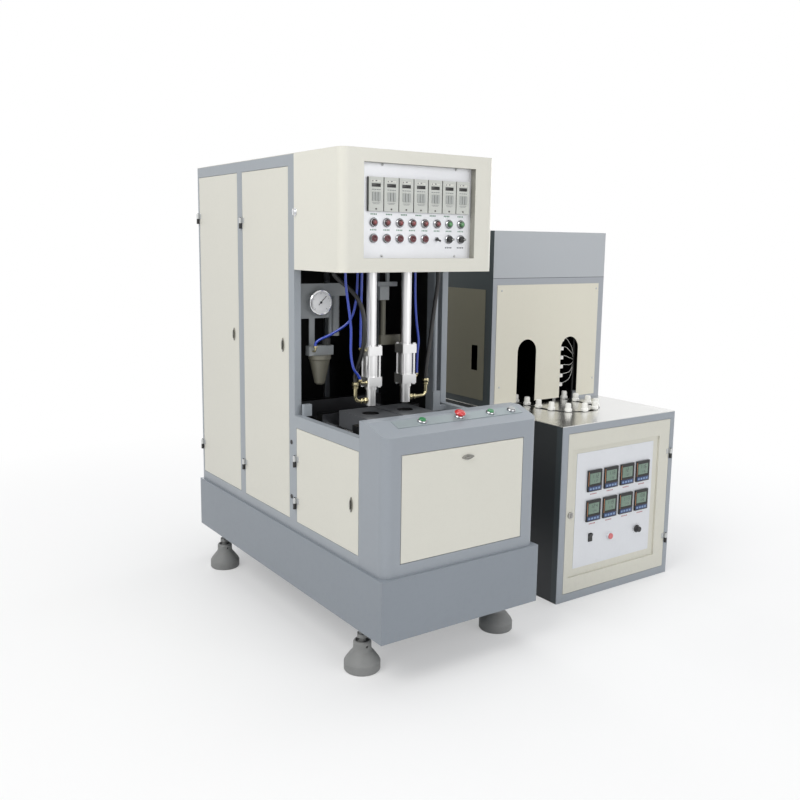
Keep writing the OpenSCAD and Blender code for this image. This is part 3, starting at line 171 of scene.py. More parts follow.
# Soft boxes: a large key above the left front corner, and weaker ones in front, over the top, on the right
# and behind. Each is a square lamp behind a diffusing cloth, and the camera doesn't see it.
def soft_box(name, place, aim, size, watts, tint=(1.0, 1.0, 1.0)):
    """A square area light turned to what it lights, unseen by the camera."""
    bpy.ops.object.light_add(type="AREA", location=place)
    lamp = bpy.context.object
    lamp.name = name
    lamp.data.shape = "SQUARE"
    lamp.data.size = size
    lamp.data.energy = watts
    lamp.data.color = tint
    lamp.rotation_euler = (Vector(aim) - Vector(place)).to_track_quat("-Z", "Y").to_euler()
    lamp.visible_camera = False


soft_box("key_box", (-4.0, -1.3, 4.4), (-0.3, 0.0, 1.1), 3.0, 135.0, (1.0, 0.99, 0.97))
soft_box("front_box", (0.6, -5.0, 2.6), (0.2, 0.0, 0.9), 3.0, 68.0)
soft_box("top_box", (0.2, 0.2, 5.0), (0.0, 0.0, 0.0), 3.0, 55.0)
soft_box("right_box", (4.6, 0.6, 2.4), (0.4, 0.2, 0.8), 2.6, 60.0)
soft_box("back_box", (0.3, 5.0, 2.6), (0.0, 0.3, 0.8), 2.8, 60.0)


# The welded base and the levelling feet. The base is a box of folded and welded steel plate with a grey
# powder coat. The feet are grey iron castings on threaded studs; a lock nut under the base holds each at its
# height.
def press_spot(x, y, z):
    """A place on the press in the frame, from millimetres off the left front corner of its base."""
    return Vector((x - 846.5, y - 775.0, z)) / 1000


def surface(name):
    """A new material with an empty tree, its wires, and the place of each point of the piece."""
    made = bpy.data.materials.new(name)
    made.use_nodes = True
    made.node_tree.nodes.clear()
    wire = Wire(made.node_tree)
    return made, wire, wire.node("ShaderNodeTexCoord", output="Object")


def round_edges(wire, radius):
    """The normal of an edge rounded to this radius, and a mask that is 1 there and 0 on flat faces."""
    rounded = wire.node("ShaderNodeBevel", {"samples": 4}, {"Radius": radius})
    true = wire.node("ShaderNodeNewGeometry", output="True Normal")
    flat = wire.node(
        "ShaderNodeVectorMath", {"operation": "DOT_PRODUCT"}, {0: rounded, 1: true}, output="Value"
    )
    return rounded, ((1.0 - flat) * 5.0).clamped()


def shaded(made, wire, sockets):
    """Closes a material with one principled shader."""
    shader = wire.node("ShaderNodeBsdfPrincipled", {}, sockets)
    wire.node("ShaderNodeOutputMaterial", {}, {"Surface": shader})
    return made


def tone(tint, factor, lift=0.0):
    """The same colour, lighter or darker."""
    return tuple(min(1.0, max(0.0, c * factor + lift)) for c in tint[:3]) + (1.0,)


def within(place, low, high):
    """1 inside the box between two corners, 0 outside it."""
    mask = 1.0
    for axis, least, most in zip("XYZ", low, high):
        along = place.node("ShaderNodeSeparateXYZ", {}, {0: place}, output=axis)
        mask = (along > least) * (along < most) * mask
    return mask


def coat(name, tint, rough=0.40, peel=0.05, grain=420.0, edge=0.0014, worn=0.3, drift=0.03, patches=()):
    """Baked coat on steel: a fine orange peel, cloudy drift of the colour, dust near the floor, rubbed edges.
    Patches are boxes with a colour of their own, such as an inside painted dark as shade, and how far each is
    bare metal."""
    made, wire, place = surface(name)
    rounded, rubbed = round_edges(wire, edge)
    cloud, speck, skin = place.noise(2.3, 4.0, 0.6), place.noise(55.0, 5.0, 0.7), place.noise(grain, 2.0)
    height = wire.node("ShaderNodeSeparateXYZ", {}, {0: place}, output="Z")
    body = cloud.blend(tone(tint, 1.0 - 2.0 * drift), tone(tint, 1.0 + drift))
    near_floor = 0.1 + ((0.5 - height) * 0.9).clamped() * 0.5
    dusty = (((speck - 0.5) * 3.0).clamped() * near_floor).blend(body, tone(tint, 0.74))
    colour = (rubbed * worn * (0.4 + speck)).clamped().blend(dusty, tone(tint, 1.12, 0.03))
    bare = 0.0
    for low, high, other, metallic in patches:
        patch = within(place, low, high)
        colour = patch.blend(colour, other)
        bare = patch * metallic + bare
    gloss = (rough - 0.05 + speck * 0.12 - rubbed * 0.08).clamped(0.05, 1.0)
    relief = skin.bump(peel, 0.0006, rounded)
    return shaded(made, wire, {"Base Color": colour, "Metallic": bare, "Roughness": gloss, "Normal": relief})


def dress(material, *nodes):
    """Puts one finish on CAD nodes, in place of the plain colour that they come with."""
    for name in nodes:
        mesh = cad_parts[name].data
        mesh.materials.clear()
        mesh.materials.append(material)


# The base's grey is painted darker than the apron's and the frame's one grey coat: painted shade low down.
dress(coat("grey_base_coat_painted_shade", paint_chip(138, 145, 153)), "base_plinth")
dress(coat("grey_apron_coat", paint_chip(154, 160, 167)), "front_apron")
cast_skin = {"rough": 0.6, "peel": 0.4, "grain": 240.0, "edge": 0.0025, "worn": 0.6, "drift": 0.08}
dress(coat("grey_iron_casting", paint_chip(140, 141, 140), **cast_skin), "levelling_feet")


# The frame of the cabinet: welded square tube and folded sheet under the same grey coat. Its inside is
# painted near black as painted shade. Black plastic plugs close the two screw holes in the front corner post.
painted_shade_black = paint_chip(30, 30, 31)
press_inside_shade = (press_spot(39, 670.6, 380), press_spot(661, 1523, 1812), painted_shade_black, 0.0)
dress(coat("grey_frame_coat", paint_chip(160, 166, 172), patches=[press_inside_shade]), "machine_frame")


def turned(name, rings, spot, lean=(0.0, 0.0, 0.0), sides=32):
    """A turned piece: a disc drawn out ring by ring, each a radius and a height in mm, then set in place."""
    first_radius, first_height = rings[0]
    start = (0.0, 0.0, first_height / 1000)
    bpy.ops.object.select_all(action="DESELECT")
    bpy.ops.mesh.primitive_circle_add(
        vertices=sides, radius=first_radius / 1000, fill_type="NGON", location=start
    )
    piece = bpy.context.object
    piece.name = name
    bpy.ops.object.transform_apply(location=True, rotation=True, scale=True)
    bpy.ops.object.mode_set(mode="EDIT")
    bpy.ops.mesh.select_all(action="SELECT")
    for (r0, h0), (r1, h1) in zip(rings, rings[1:]):
        bpy.ops.mesh.extrude_region_move(TRANSFORM_OT_translate={"value": (0.0, 0.0, (h1 - h0) / 1000)})
        bpy.ops.transform.resize(value=(r1 / r0, r1 / r0, 1.0))
    bpy.ops.mesh.select_all(action="SELECT")
    bpy.ops.mesh.normals_make_consistent(inside=False)
    bpy.ops.object.mode_set(mode="OBJECT")
    piece.rotation_euler = lean
    piece.location = spot
    bpy.ops.object.transform_apply(location=True, rotation=True, scale=True)
    bpy.ops.object.shade_smooth_by_angle(angle=math.radians(35))
    return piece


def take(*pieces):
    """Selects these pieces and nothing else, with the first as the active one."""
    bpy.ops.object.select_all(action="DESELECT")
    for piece in pieces:
        piece.select_set(True)
    bpy.context.view_layer.objects.active = pieces[0]


def joined(pieces, name):
    """Several pieces made one, under this name."""
    take(*pieces)
    bpy.ops.object.join()
    pieces[0].name = name
    return pieces[0]


def placed(piece, move):
    """A copy of a piece with a mesh of its own, moved by this matrix."""
    twin = piece.copy()
    twin.data = piece.data.copy()
    twin.data.transform(move)
    bpy.context.collection.objects.link(twin)
    return twin


def spread(piece, steps):
    """Copies of a piece at these steps from it, joined to it as one group."""
    return joined([piece] + [placed(piece, Matrix.Translation(step)) for step in steps], piece.name)


def fit_out(piece, material, body="frame"):
    """The finish of a new piece, and the body that it moves with."""
    piece.data.materials.clear()
    piece.data.materials.append(material)
    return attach(piece, body)


def moulded(name, tint, rough=0.4, grain=500.0, texture=0.08, edge=0.0007, drift=0.08, clear=0.0):
    """Moulded plastic or rubber: a fine tool texture, a slight drift of colour, edges that catch light."""
    made, wire, place = surface(name)
    rounded, rim = round_edges(wire, edge)
    cloud, fine = place.noise(14.0, 4.0, 0.6), place.noise(grain, 2.0)
    body = cloud.blend(tone(tint, 1.0 - drift), tone(tint, 1.0 + drift))
    colour = (rim * 0.3).blend(body, tone(tint, 1.3, 0.02))
    sockets = {
        "Base Color": colour,
        "Roughness": (rough - 0.05 + cloud * 0.1).clamped(0.05, 1.0),
        "Coat Weight": clear,
        "Coat Roughness": 0.08,
        "Normal": fine.bump(texture, 0.0003, rounded),
    }
    return shaded(made, wire, sockets)


black_plastic = moulded("black_plastic", paint_chip(30, 30, 31), rough=0.38)
plug_rings = [(3.0, -0.6), (8.5, -0.6), (9.0, 0.6), (8.0, 2.2), (4.0, 2.8), (3.5, 2.2)]
face_left = (0.0, -math.pi / 2, 0.0)
plug = turned("corner_post_plugs", plug_rings, press_spot(12, 652, 516), face_left)
up_to_second = Vector((0, 0, 0.215))
fit_out(spread(plug, [up_to_second]), black_plastic)


# Covers, doors and hood: folded steel sheet with a smooth cream coat. The doors hang on lift-off hinges,
# their locks are polished zinc castings, and the right and rear covers are screwed to the frame.
cream = paint_chip(221, 219, 208)
# The inside of the covers is painted near black as painted shade, like the frame's.
covers_inside_shade = (press_spot(13, 600, 380), press_spot(686.9, 1537, 1808.9), painted_shade_black, 0.0)
dress(coat("cream_cover_coat", cream, rough=0.34, drift=0.015, patches=[covers_inside_shade]), "cabinet_covers")
# The walls of the panel's recess are painted a darker grey-cream as painted shade in the recess.
recess_wall_shade = (
    press_spot(104.9, 293.5, 1437.9), press_spot(595.1, 319.9, 1765.1), paint_chip(158, 156, 146), 0.0
)
# The hood's cream is painted lighter than the doors' cream, as painted light high up; both are one paint.
hood_cream_painted_lighter = paint_chip(227, 225, 214)
hood_coat = coat("cream_hood_coat_painted_lighter", hood_cream_painted_lighter, rough=0.34, drift=0.015, worn=0.25, patches=[recess_wall_shade])
dress(hood_coat, "control_hood")
dress(coat("cream_powder_coat", cream, rough=0.34, drift=0.015, worn=0.25), "front_door")
hinge_side = (press_spot(-20, 0, 0), press_spot(11.95, 1600, 1900), paint_chip(200, 202, 202), 1.0)
door_coat = coat("cream_door_coat", cream, rough=0.34, drift=0.015, worn=0.25, patches=[hinge_side])
dress(door_coat, "rear_side_door", "middle_side_door", "lower_side_door")


def metal(name, tint, rough=0.28, brushed=0.0, along=(1.0, 1.0, 40.0), scratch=0.05, blotch=0.05):
    """Bare metal: a colour that drifts with handling, fine lines the way it was finished, rubbed edges."""
    made, wire, place = surface(name)
    rounded, rim = round_edges(wire, 0.0008)
    stretched = wire.node("ShaderNodeMapping", {}, {"Vector": place, "Scale": along})
    lines, cloud = stretched.noise(60.0, 3.0, 0.6), place.noise(9.0, 5.0, 0.6)
    body = cloud.blend(tone(tint, 1.0 - 3.0 * blotch), tint)
    colour = (rim * 0.5).blend(body, tone(tint, 1.15, 0.04))
    gloss = (rough - 0.06 + cloud * 0.12 + lines * brushed).clamped(0.03, 1.0)
    relief = lines.bump(scratch, 0.0004, rounded)
    return shaded(made, wire, {"Base Color": colour, "Roughness": gloss, "Metallic": 1.0, "Normal": relief})


chrome = metal("polished_chrome", paint_chip(232, 233, 235), rough=0.10, scratch=0.02, blotch=0.03)
dress(chrome, "hood_latch")
lock_casting = metal("polished_lock_casting", paint_chip(150, 149, 144), rough=0.16, scratch=0.02)
dress(lock_casting, "rear_door_lock", "middle_door_lock", "lower_door_lock", "front_door_lock")
dress(moulded("black_hinge_casting", paint_chip(36, 36, 37), rough=0.42), "door_hinges")


# The control panel: a satin aluminium plate screwed into the recess of the hood, with seven plug-in timers in
# grey housings, a row of pilot lamps and a row of push buttons, each in a chromed ring.
def satin_plate(name, tint, patches=()):
    """Anodised sheet: pale, with fine lines one way and faint smudges. Patches have a colour of their own."""
    made, wire, place = surface(name)
    rounded, rim = round_edges(wire, 0.0006)
    stretched = wire.node("ShaderNodeMapping", {}, {"Vector": place, "Scale": (1.0, 60.0, 1.0)})
    lines, cloud = stretched.noise(90.0, 3.0), place.noise(7.0, 5.0, 0.65)
    body = (cloud * 0.7 + lines * 0.3).blend(tone(tint, 0.93), tone(tint, 1.05))
    colour = (rim * 0.5).blend(body, tone(tint, 1.1, 0.03))
    for low, high, other in patches:
        patch = within(place, low, high)
        colour = patch.blend(colour, (cloud * 0.7 + lines * 0.3).blend(tone(other, 0.9), tone(other, 1.08)))
    gloss = (0.3 + cloud * 0.16).clamped(0.05, 1.0)
    relief = lines.bump(0.05, 0.0003, rounded)
    return shaded(made, wire, {"Base Color": colour, "Metallic": 0.3, "Roughness": gloss, "Normal": relief})


ledge_strip = (press_spot(0, 0, 700), press_spot(700, 200, 1100), paint_chip(160, 170, 173))
aluminium = satin_plate("satin_aluminium_plate", paint_chip(232, 233, 236), patches=[ledge_strip])
dress(aluminium, "control_plates")
timer_front, timer_pitch = 308.0, 64
timer_left = [135 + timer_pitch * i for i in range(7)]
before_front = timer_front - 0.05
keys_and_screws = [
    (press_spot(100, 304, 1630), press_spot(600, before_front, 1670), paint_chip(172, 175, 172), 0.0),
    (press_spot(100, 304, 1600), press_spot(600, before_front, 1620), paint_chip(70, 66, 64), 0.0),
]
# The sides of the timer housings behind their fronts are painted dark grey as painted shade between the
# modules.
side_shade_grey = paint_chip(84, 85, 82)
sides = [
    (press_spot(x - 0.1, 309.5, 1598), press_spot(x + 60.1, 321, 1720), side_shade_grey, 0.0) for x in timer_left
]
timer_skin = {"rough": 0.42, "peel": 0.12, "grain": 700.0, "edge": 0.0007, "drift": 0.02}
timer_grey = paint_chip(206, 208, 202)
dress(coat("grey_timer_housing", timer_grey, **timer_skin, patches=keys_and_screws + sides), "timer_modules")


def block(name, low, high, edge=0.3, segments=2):
    """A pressed or moulded bar between two corners in millimetres, with rounded edges."""
    low, high = Vector(low), Vector(high)
    bpy.ops.object.select_all(action="DESELECT")
    bpy.ops.mesh.primitive_cube_add(size=1.0, location=(low + high) / 2000, scale=(high - low) / 1000)
    piece = bpy.context.object
    piece.name = name
    bpy.ops.object.transform_apply(location=True, rotation=True, scale=True)
    bpy.ops.object.mode_set(mode="EDIT")
    bpy.ops.mesh.select_all(action="SELECT")
    bpy.ops.mesh.bevel(offset=edge / 1000, segments=segments, affect="EDGES")
    bpy.ops.object.mode_set(mode="OBJECT")
    bpy.ops.object.shade_smooth_by_angle(angle=math.radians(40))
    return piece


def press_block(name, low, high, **extra):
    """A bar between two corners of the press drawing."""
    return block(name, press_spot(*low) * 1000, press_spot(*high) * 1000, **extra)


dark_glass = moulded("smoked_window", paint_chip(8, 8, 9), rough=0.3, texture=0.0, clear=0.1)
white_card = moulded("white_card", paint_chip(226, 226, 218), rough=0.5)
left = timer_left[0]
to_others = [Vector((timer_pitch * i / 1000, 0, 0)) for i in range(1, 7)]
window = press_block("timer_windows", (left + 11.3, 308.8, 1683.3), (left + 48.7, 312.4, 1694.7), edge=0.5)
fit_out(spread(window, to_others), dark_glass)
card = press_block("timer_title_cards", (left + 10.4, 308.3, 1699.4), (left + 49.6, 309.3, 1706.6), edge=0.2)
fit_out(spread(card, to_others), white_card)


# Dashes on the title cards and below the keys of each timer, and short captions over and under the lamps and
# switches, all screen printed. They are plain bars in place of words.
print_ink = moulded("grey_print", paint_chip(96, 98, 104), rough=0.6, texture=0.0)
green_ink = moulded("green_print", paint_chip(112, 150, 128), rough=0.6, texture=0.0)
red_ink = moulded("red_print", paint_chip(178, 112, 116), rough=0.6, texture=0.0)


def printed(name, bars, front, ink, body="frame", thick=0.12, place=press_spot):
    """Screen printed bars on a front, each from left, bottom to right, top in millimetres."""
    marks = []
    for left, bottom, right, top in bars:
        low, high = place(left, front - thick, bottom) * 1000, place(right, front + 0.05, top) * 1000
        marks.append(block(name, low, high, edge=0.04, segments=1))
    return fit_out(joined(marks, name), ink, body)


def captions(starts, pitch, width, low, count=4):
    """Short bars of 5 mm height in place of the letters of captions, from the left end of each caption."""
    return [(x + pitch * k, low, x + pitch * k + width, low + 5) for x in starts for k in range(count)]


card_front, plate_face = 308.3, 320
dashes, rules = [], []
for x in timer_left:
    dashes += [(x + 14, 1701, x + 18, 1705), (x + 27, 1702, x + 34, 1705.4)]
    rules += [(x + a, 1673, x + b, 1675) for a, b in ((12, 20), (22, 30), (32, 40), (42, 48))]
    rules += [(x + 14, 1628, x + 46, 1629), (x + 18, 1624.5, x + 42, 1625.5)]
printed("timer_card_marks", dashes, card_front, print_ink)
printed("timer_front_marks", rules, timer_front, print_ink)
lamp_at = [162 + 55.3 * i for i in range(8)]
printed("timer_captions", captions([x + 15 for x in timer_left], 7, 5, 1588), plate_face, green_ink)
printed("lamp_captions", captions([x - 13 for x in lamp_at], 7, 4.5, 1534), plate_face, green_ink)
printed("switch_captions", captions([x - 15 for x in lamp_at[6:]], 8, 5.5, 1474), plate_face, print_ink)


# Pilot lamps: ribbed lenses of clear red and green plastic over a bulb. The push buttons below them are
# dished caps of dark red plastic; the toggle and the two selector knobs are black.
def lens_glass(name, axes, height, green_from):
    """A plastic lens: rings of ribs about each lamp's own axis, with a highlight painted at each heart that
    fades to a dark rim. The lamps right of one place are green, the others red."""
    made, wire, place = surface(name)
    rounded, _ = round_edges(wire, 0.0008)
    across = wire.node("ShaderNodeSeparateXYZ", {}, {0: place}, output="X")
    up = wire.node("ShaderNodeSeparateXYZ", {}, {0: place}, output="Z")
    pitch = (axes[1] - axes[0]) / 1000
    off_first = across - press_spot(axes[0], 0, 0).x
    beside = wire.node("ShaderNodeMath", {"operation": "WRAP"}, {0: off_first, 1: pitch / 2, 2: -pitch / 2})
    above = up - height / 1000
    radius = wire.maths("SQRT", beside * beside + above * above)
    painted_highlight = (1.0 - radius / 0.011).clamped()
    ribs = wire.maths("SINE", radius * 5200.0)
    green = across > press_spot(green_from, 0, 0).x
    deep = green.blend(paint_chip(48, 4, 8), paint_chip(16, 72, 30))
    bright = green.blend(paint_chip(156, 26, 30), paint_chip(96, 172, 100))
    # Each lens is painted bright at its heart, a painted highlight, and darker towards its rim.
    colour = (painted_highlight * 0.9 + ribs * 0.06).clamped().blend(deep, bright)
    sockets = {
        "Base Color": colour,
        "Roughness": (0.14 + painted_highlight * 0.1).clamped(0.05, 1.0),
        "Coat Weight": 0.8,
        "Coat Roughness": 0.05,
        "Normal": ribs.bump(0.35, 0.0004, rounded),
    }
    return shaded(made, wire, sockets)


dress(lens_glass("pilot_lamp_lenses", lamp_at, 1562, (lamp_at[5] + lamp_at[6]) / 2), "pilot_lamps")
dress(metal("dark_chrome_rings", paint_chip(176, 177, 180), rough=0.14, scratch=0.02), "switch_bezels")
dress(moulded("dark_red_cap", paint_chip(96, 38, 44), rough=0.3, clear=0.5), "hood_push_buttons")
black_knob = moulded("black_knob", paint_chip(22, 22, 23), rough=0.34, clear=0.2)
dress(black_knob, "left_selector_knob", "right_selector_knob", "toggle_lever")
for side, x in (("left", lamp_at[6]), ("right", lamp_at[7])):
    pointer = press_block(
        side + "_knob_pointer_line", (x + 1, 298.7, 1506.2), (x + 10.4, 299.1, 1507.8), edge=0.15
    )
    fit_out(pointer, moulded(side + "_white_line", paint_chip(226, 226, 222), rough=0.4), side + "_selector")


# Small cross head screws at the corners of the panel's plate: zinc plated steel, domed, each with a cross
# pressed into its head. They hold the plate to the hood, and like ones hold the heater's arched panel.
def cross_screw(name, spot, lean, width):
    """A domed screw head with a cross recess."""
    dome = [(0.42, 0.16), (0.24, 0.25), (0.1, 0.27)]
    rings = [(width * 0.5, -0.4), (width * 0.5, 0.3)] + [(width * r, width * h) for r, h in dome]
    head = turned(name, rings, (0, 0, 0), sides=20)
    slot = Vector((0.52, 0.1, 0.2)) * width / 1000
    for turn_by in (0.0, math.pi / 2):
        bpy.ops.object.select_all(action="DESELECT")
        above = (0, 0, width * 0.26 / 1000)
        bpy.ops.mesh.primitive_cube_add(size=1.0, location=above, rotation=(0, 0, turn_by), scale=slot)
        cutter = bpy.context.object
        cut = head.modifiers.new("cross", "BOOLEAN")
        cut.object = cutter
        cut.operation = "DIFFERENCE"
        bpy.context.view_layer.objects.active = head
        bpy.ops.object.modifier_apply(modifier=cut.name)
        bpy.data.objects.remove(cutter)
    take(head)
    head.rotation_euler = lean
    head.location = spot
    bpy.ops.object.transform_apply(location=True, rotation=True, scale=True)
    return head


def other_corners(across, up):
    """The steps from the lower left corner of a plate to its three others, given in metres."""
    return [Vector((across, 0, 0)), Vector((0, 0, up)), Vector((across, 0, up))]


face_front = (math.pi / 2, 0.0, 0.0)
zinc = metal("zinc_plate", paint_chip(200, 202, 202), rough=0.3, brushed=0.05)
screw = cross_screw("hood_plate_screws", press_spot(197, 318, 1446), face_front, 9)
fit_out(spread(screw, other_corners(0.324, 0.314)), zinc)


# The apron's ledge: an aluminium strip with two green start buttons, a red mushroom head that stops the
# machine, and a grey reset button. The apron itself is folded sheet with the grey coat of the base.
green_cap = moulded("green_button_cap", paint_chip(34, 132, 74), rough=0.28, clear=0.5)
dress(green_cap, "left_start_button", "right_start_button")
dress(moulded("red_stop_head", paint_chip(204, 26, 28), rough=0.26, clear=0.6), "stop_button")
dress(moulded("grey_reset_cap", paint_chip(170, 172, 172), rough=0.3, clear=0.4), "reset_button")


# The blowing unit: two air cylinders with square cast heads and tie rods, anodised barrels and long polished
# tubes above them, steel nozzles and stretch rods inside, and brass fittings that take the hoses.
drawn_tube = {"rough": 0.3, "brushed": 0.06, "along": (40.0, 40.0, 1.0)}
dress(metal("anodised_cylinders", paint_chip(236, 236, 236), **drawn_tube), "blow_cylinders")
ground_steel = metal("ground_steel", paint_chip(206, 207, 208), rough=0.16, scratch=0.02)
dress(ground_steel, "stretch_rods", "blow_nozzles", "tie_bars")
brass = metal("nickel_plated_brass", paint_chip(200, 190, 152), rough=0.24, blotch=0.08)


def tube_path(route, parts=8):
    """A smooth run of points through the places of a hose's route."""
    places = [press_spot(*p) for p in route]
    ends = [places[0]] + places + [places[-1]]
    run = []
    for a, b, c, d in zip(ends, ends[1:], ends[2:], ends[3:]):
        for k in range(parts):
            t = k / parts
            square, cube = (2 * a - 5 * b + 4 * c - d) * t * t, (3 * b - a - 3 * c + d) * t * t * t
            run.append(0.5 * (2 * b + (c - a) * t + square + cube))
    return run + [places[-1]]


def hose(name, route, width, material, parts=8):
    """A hose swept along its route, closed at both ends."""
    run = tube_path(route, parts)
    curve = bpy.data.curves.new(name, "CURVE")
    curve.dimensions = "3D"
    curve.bevel_depth = width / 2000
    curve.bevel_resolution = 4
    curve.use_fill_caps = True
    spline = curve.splines.new("POLY")
    spline.points.add(len(run) - 1)
    for point, spot in zip(spline.points, run):
        point.co = (*spot, 1.0)
    piece = bpy.data.objects.new(name, curve)
    bpy.context.collection.objects.link(piece)
    take(piece)
    bpy.ops.object.convert(target="MESH")
    bpy.ops.object.shade_smooth_by_angle(angle=math.radians(50))
    piece.data.materials.clear()
    piece.data.materials.append(material)
    return piece


# Fittings: bent pipes of plated brass with a hexagon nut at each end, screwed into the cylinders. They take
# the place of the plain elbows of the drawing, along the same lines.
def bent_pipe(name, start, corner, end, width):
    """A pipe from start to end with one round bend at the corner, all in millimetres."""
    start, corner, end = Vector(start), Vector(corner), Vector(end)
    bend = min(1.3 * width, 0.8 * (corner - start).length, 0.8 * (end - corner).length)
    into, away = (start - corner).normalized() * bend, (end - corner).normalized() * bend
    centre = corner + into + away
    arc = [
        centre - away * math.cos(a) - into * math.sin(a) for a in (math.radians(90 * k / 6) for k in range(7))
    ]
    return hose(name, [tuple(start)] + [tuple(p) for p in arc] + [tuple(end)], width, brass, 3)


def hex_nut(name, spot, lean, across, thick):
    """A hexagon nut with its corners turned off at both ends."""
    wide = across / math.sqrt(3)
    rings = [(wide * 0.86, 0), (wide, thick * 0.16), (wide, thick * 0.84), (wide * 0.86, thick)]
    return turned(name, rings, press_spot(*spot), lean, 6)


fittings = []
face_right, upright = (0.0, math.pi / 2, 0.0), (0.0, 0.0, 0.0)
left_cylinder, right_cylinder, sleeve, head = 270, 430, 19, 32.5
arms = [
    (left_cylinder - sleeve, 200, 494, 897, 970, 14, 22),
    (right_cylinder + sleeve, 528, 494, 894, 961, 14, 22),
    (left_cylinder - head, 206, 470, 970, 984, 8, 13),
    (left_cylinder - head, 222, 494, 1087, 1101, 8, 13),
    (right_cylinder + head, 485, 494, 970, 986, 8, 13),
]
for x0, x1, y, z, top, width, nut in arms:
    fittings.append(bent_pipe("fitting_pipe", (x0, y, z), (x1, y, z), (x1, y, top), width))
    fittings.append(hex_nut("fitting_nut", (x1, y, top - nut * 0.7), upright, nut, nut * 0.7))
    side, facing = (1, face_right) if x1 > x0 else (-1, face_left)
    fittings.append(hex_nut("fitting_nut", (x0 + side, y, z), facing, nut, nut * 0.5))
    if width > 10:
        fittings.append(hex_nut("fitting_nut", (x0 + side * nut * 0.9, y, z), facing, nut * 0.9, nut * 0.35))
        fittings.append(hex_nut("fitting_collar", (x1, y, top - nut * 1.1), upright, nut * 0.86, nut * 0.3))
fittings.append(bent_pipe("filter_pipe", (100, 640, 1078), (100, 622, 1078), (100, 622, 1100), 8))
fittings.append(hex_nut("fitting_nut", (100, 622, 1091), upright, 13, 9))
for fitting in fittings:
    fitting.data.materials.clear()
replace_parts(fit_out(joined(fittings, "plated_pipe_fittings"), brass), "brass_fittings")


# Hoses: black rubber pressure hoses on the nozzles and blue polyurethane air tubes on the cylinder heads.
# Each is held by a fitting below and by the plate under the hood above.
hose_rubber = moulded("black_hose_rubber", paint_chip(24, 24, 25), rough=0.42, grain=900.0, texture=0.3)
air_tube = moulded("blue_air_tube", paint_chip(36, 66, 176), rough=0.22, texture=0.0, drift=0.14, clear=0.5)
black_hose, blue_tube = (16, hose_rubber, "black_hoses"), (10, air_tube, "blue_hoses")
routes = {
    "black_hose_left": (
        [
            (200, 494, 970), (200, 494, 1000), (203, 458, 1075), (204, 440, 1150), (203, 442, 1215),
            (192, 452, 1270), (172, 478, 1315), (138, 497, 1348), (112, 500, 1372), (110, 500, 1384),
            (110, 500, 1395)
        ],
        black_hose
    ),
    "black_hose_right": (
        [
            (528, 494, 961), (529, 494, 990), (534, 494, 1033), (547, 494, 1112), (564, 494, 1231),
            (579, 494, 1329), (580, 494, 1380), (580, 494, 1395)
        ],
        black_hose
    ),
    "blue_tube_low_left": (
        [
            (206, 470, 984), (196, 470, 1002), (176, 470, 1030), (165, 470, 1090), (165, 470, 1172),
            (156, 470, 1246), (143, 470, 1329), (140, 470, 1380), (140, 470, 1395)
        ],
        blue_tube
    ),
    "blue_tube_top_left": (
        [(222, 494, 1101), (222, 494, 1130), (223, 494, 1240), (226, 494, 1380), (226, 494, 1395)], blue_tube
    ),
    "blue_tube_to_filter": (
        [
            (100, 622, 1100), (101, 620, 1112), (116, 612, 1126), (160, 590, 1150), (214, 562, 1196),
            (232, 545, 1270), (236, 540, 1380), (236, 540, 1395)
        ],
        blue_tube
    ),
    "blue_tube_right": (
        [
            (485, 494, 986), (485, 494, 1020), (487, 494, 1070), (491, 494, 1115), (480, 494, 1187),
            (472, 494, 1273), (470, 494, 1380), (470, 494, 1395)
        ],
        blue_tube
    ),
}
for name, (route, (width, material, node)) in routes.items():
    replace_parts(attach(hose(name, route, width, material), "frame"), node)


# The air service unit behind the corner post: a grey bracket with an air tube, a filter bowl and a regulator,
# all screwed together, and a pressure gauge with a white printed dial in a chromed rim.
filter_bowl = (press_spot(90, 600, 900), press_spot(190, 672, 1061), paint_chip(112, 110, 98), 0.0)
cylinder_guide = (press_spot(330, 500, 1050), press_spot(450, 640, 1273), paint_chip(96, 94, 82), 0.0)
bracket_grey = paint_chip(150, 154, 156)
bracket_coat = coat(
    "grey_bracket_coat", bracket_grey, rough=0.38, edge=0.001, patches=[filter_bowl, cylinder_guide]
)
dress(bracket_coat, "air_service_unit")
dress(black_plastic, "regulator_knob")
dress(chrome, "pressure_gauge")
gauge_x, gauge_z = 138, 1263
dial_rings = [(42.5, 0.0), (42.5, 0.4), (41.8, 0.7)]
dial = turned("gauge_dial", dial_rings, press_spot(gauge_x, 647.2, gauge_z), face_front, 64)
fit_out(dial, moulded("white_dial", paint_chip(250, 250, 250), rough=0.4, texture=0.0, drift=0.0))


def round_scale(name, centre, marks, edge, ink, body="frame"):
    """Marks printed on a front about a centre, each with its turn, inner and outer reach, and thickness."""
    ticks = []
    for turn_by, inner, outer, thick in marks:
        tick = block(name, (inner, -thick / 2, 0.0), (outer, thick / 2, 0.15), edge=edge, segments=1)
        swing = Matrix.Rotation(math.pi / 2, 4, "X") @ Matrix.Rotation(math.radians(turn_by), 4, "Z")
        tick.data.transform(Matrix.Translation(centre) @ swing)
        ticks.append(tick)
    return fit_out(joined(ticks, name), ink, body)


marks = []
for i in range(41):
    inner = 32.0 if i % 10 == 0 else (34.5 if i % 5 == 0 else 36.5)
    marks.append((225 - i * 270 / 40, inner, 39.5, 1.3 if i % 10 == 0 else 0.7))
scale_black = moulded("black_scale_print", paint_chip(30, 30, 34), rough=0.6, texture=0.0)
round_scale("gauge_scale", press_spot(gauge_x, 646.52, gauge_z), marks, 0.05, scale_black)
dress(black_knob, "gauge_needle")


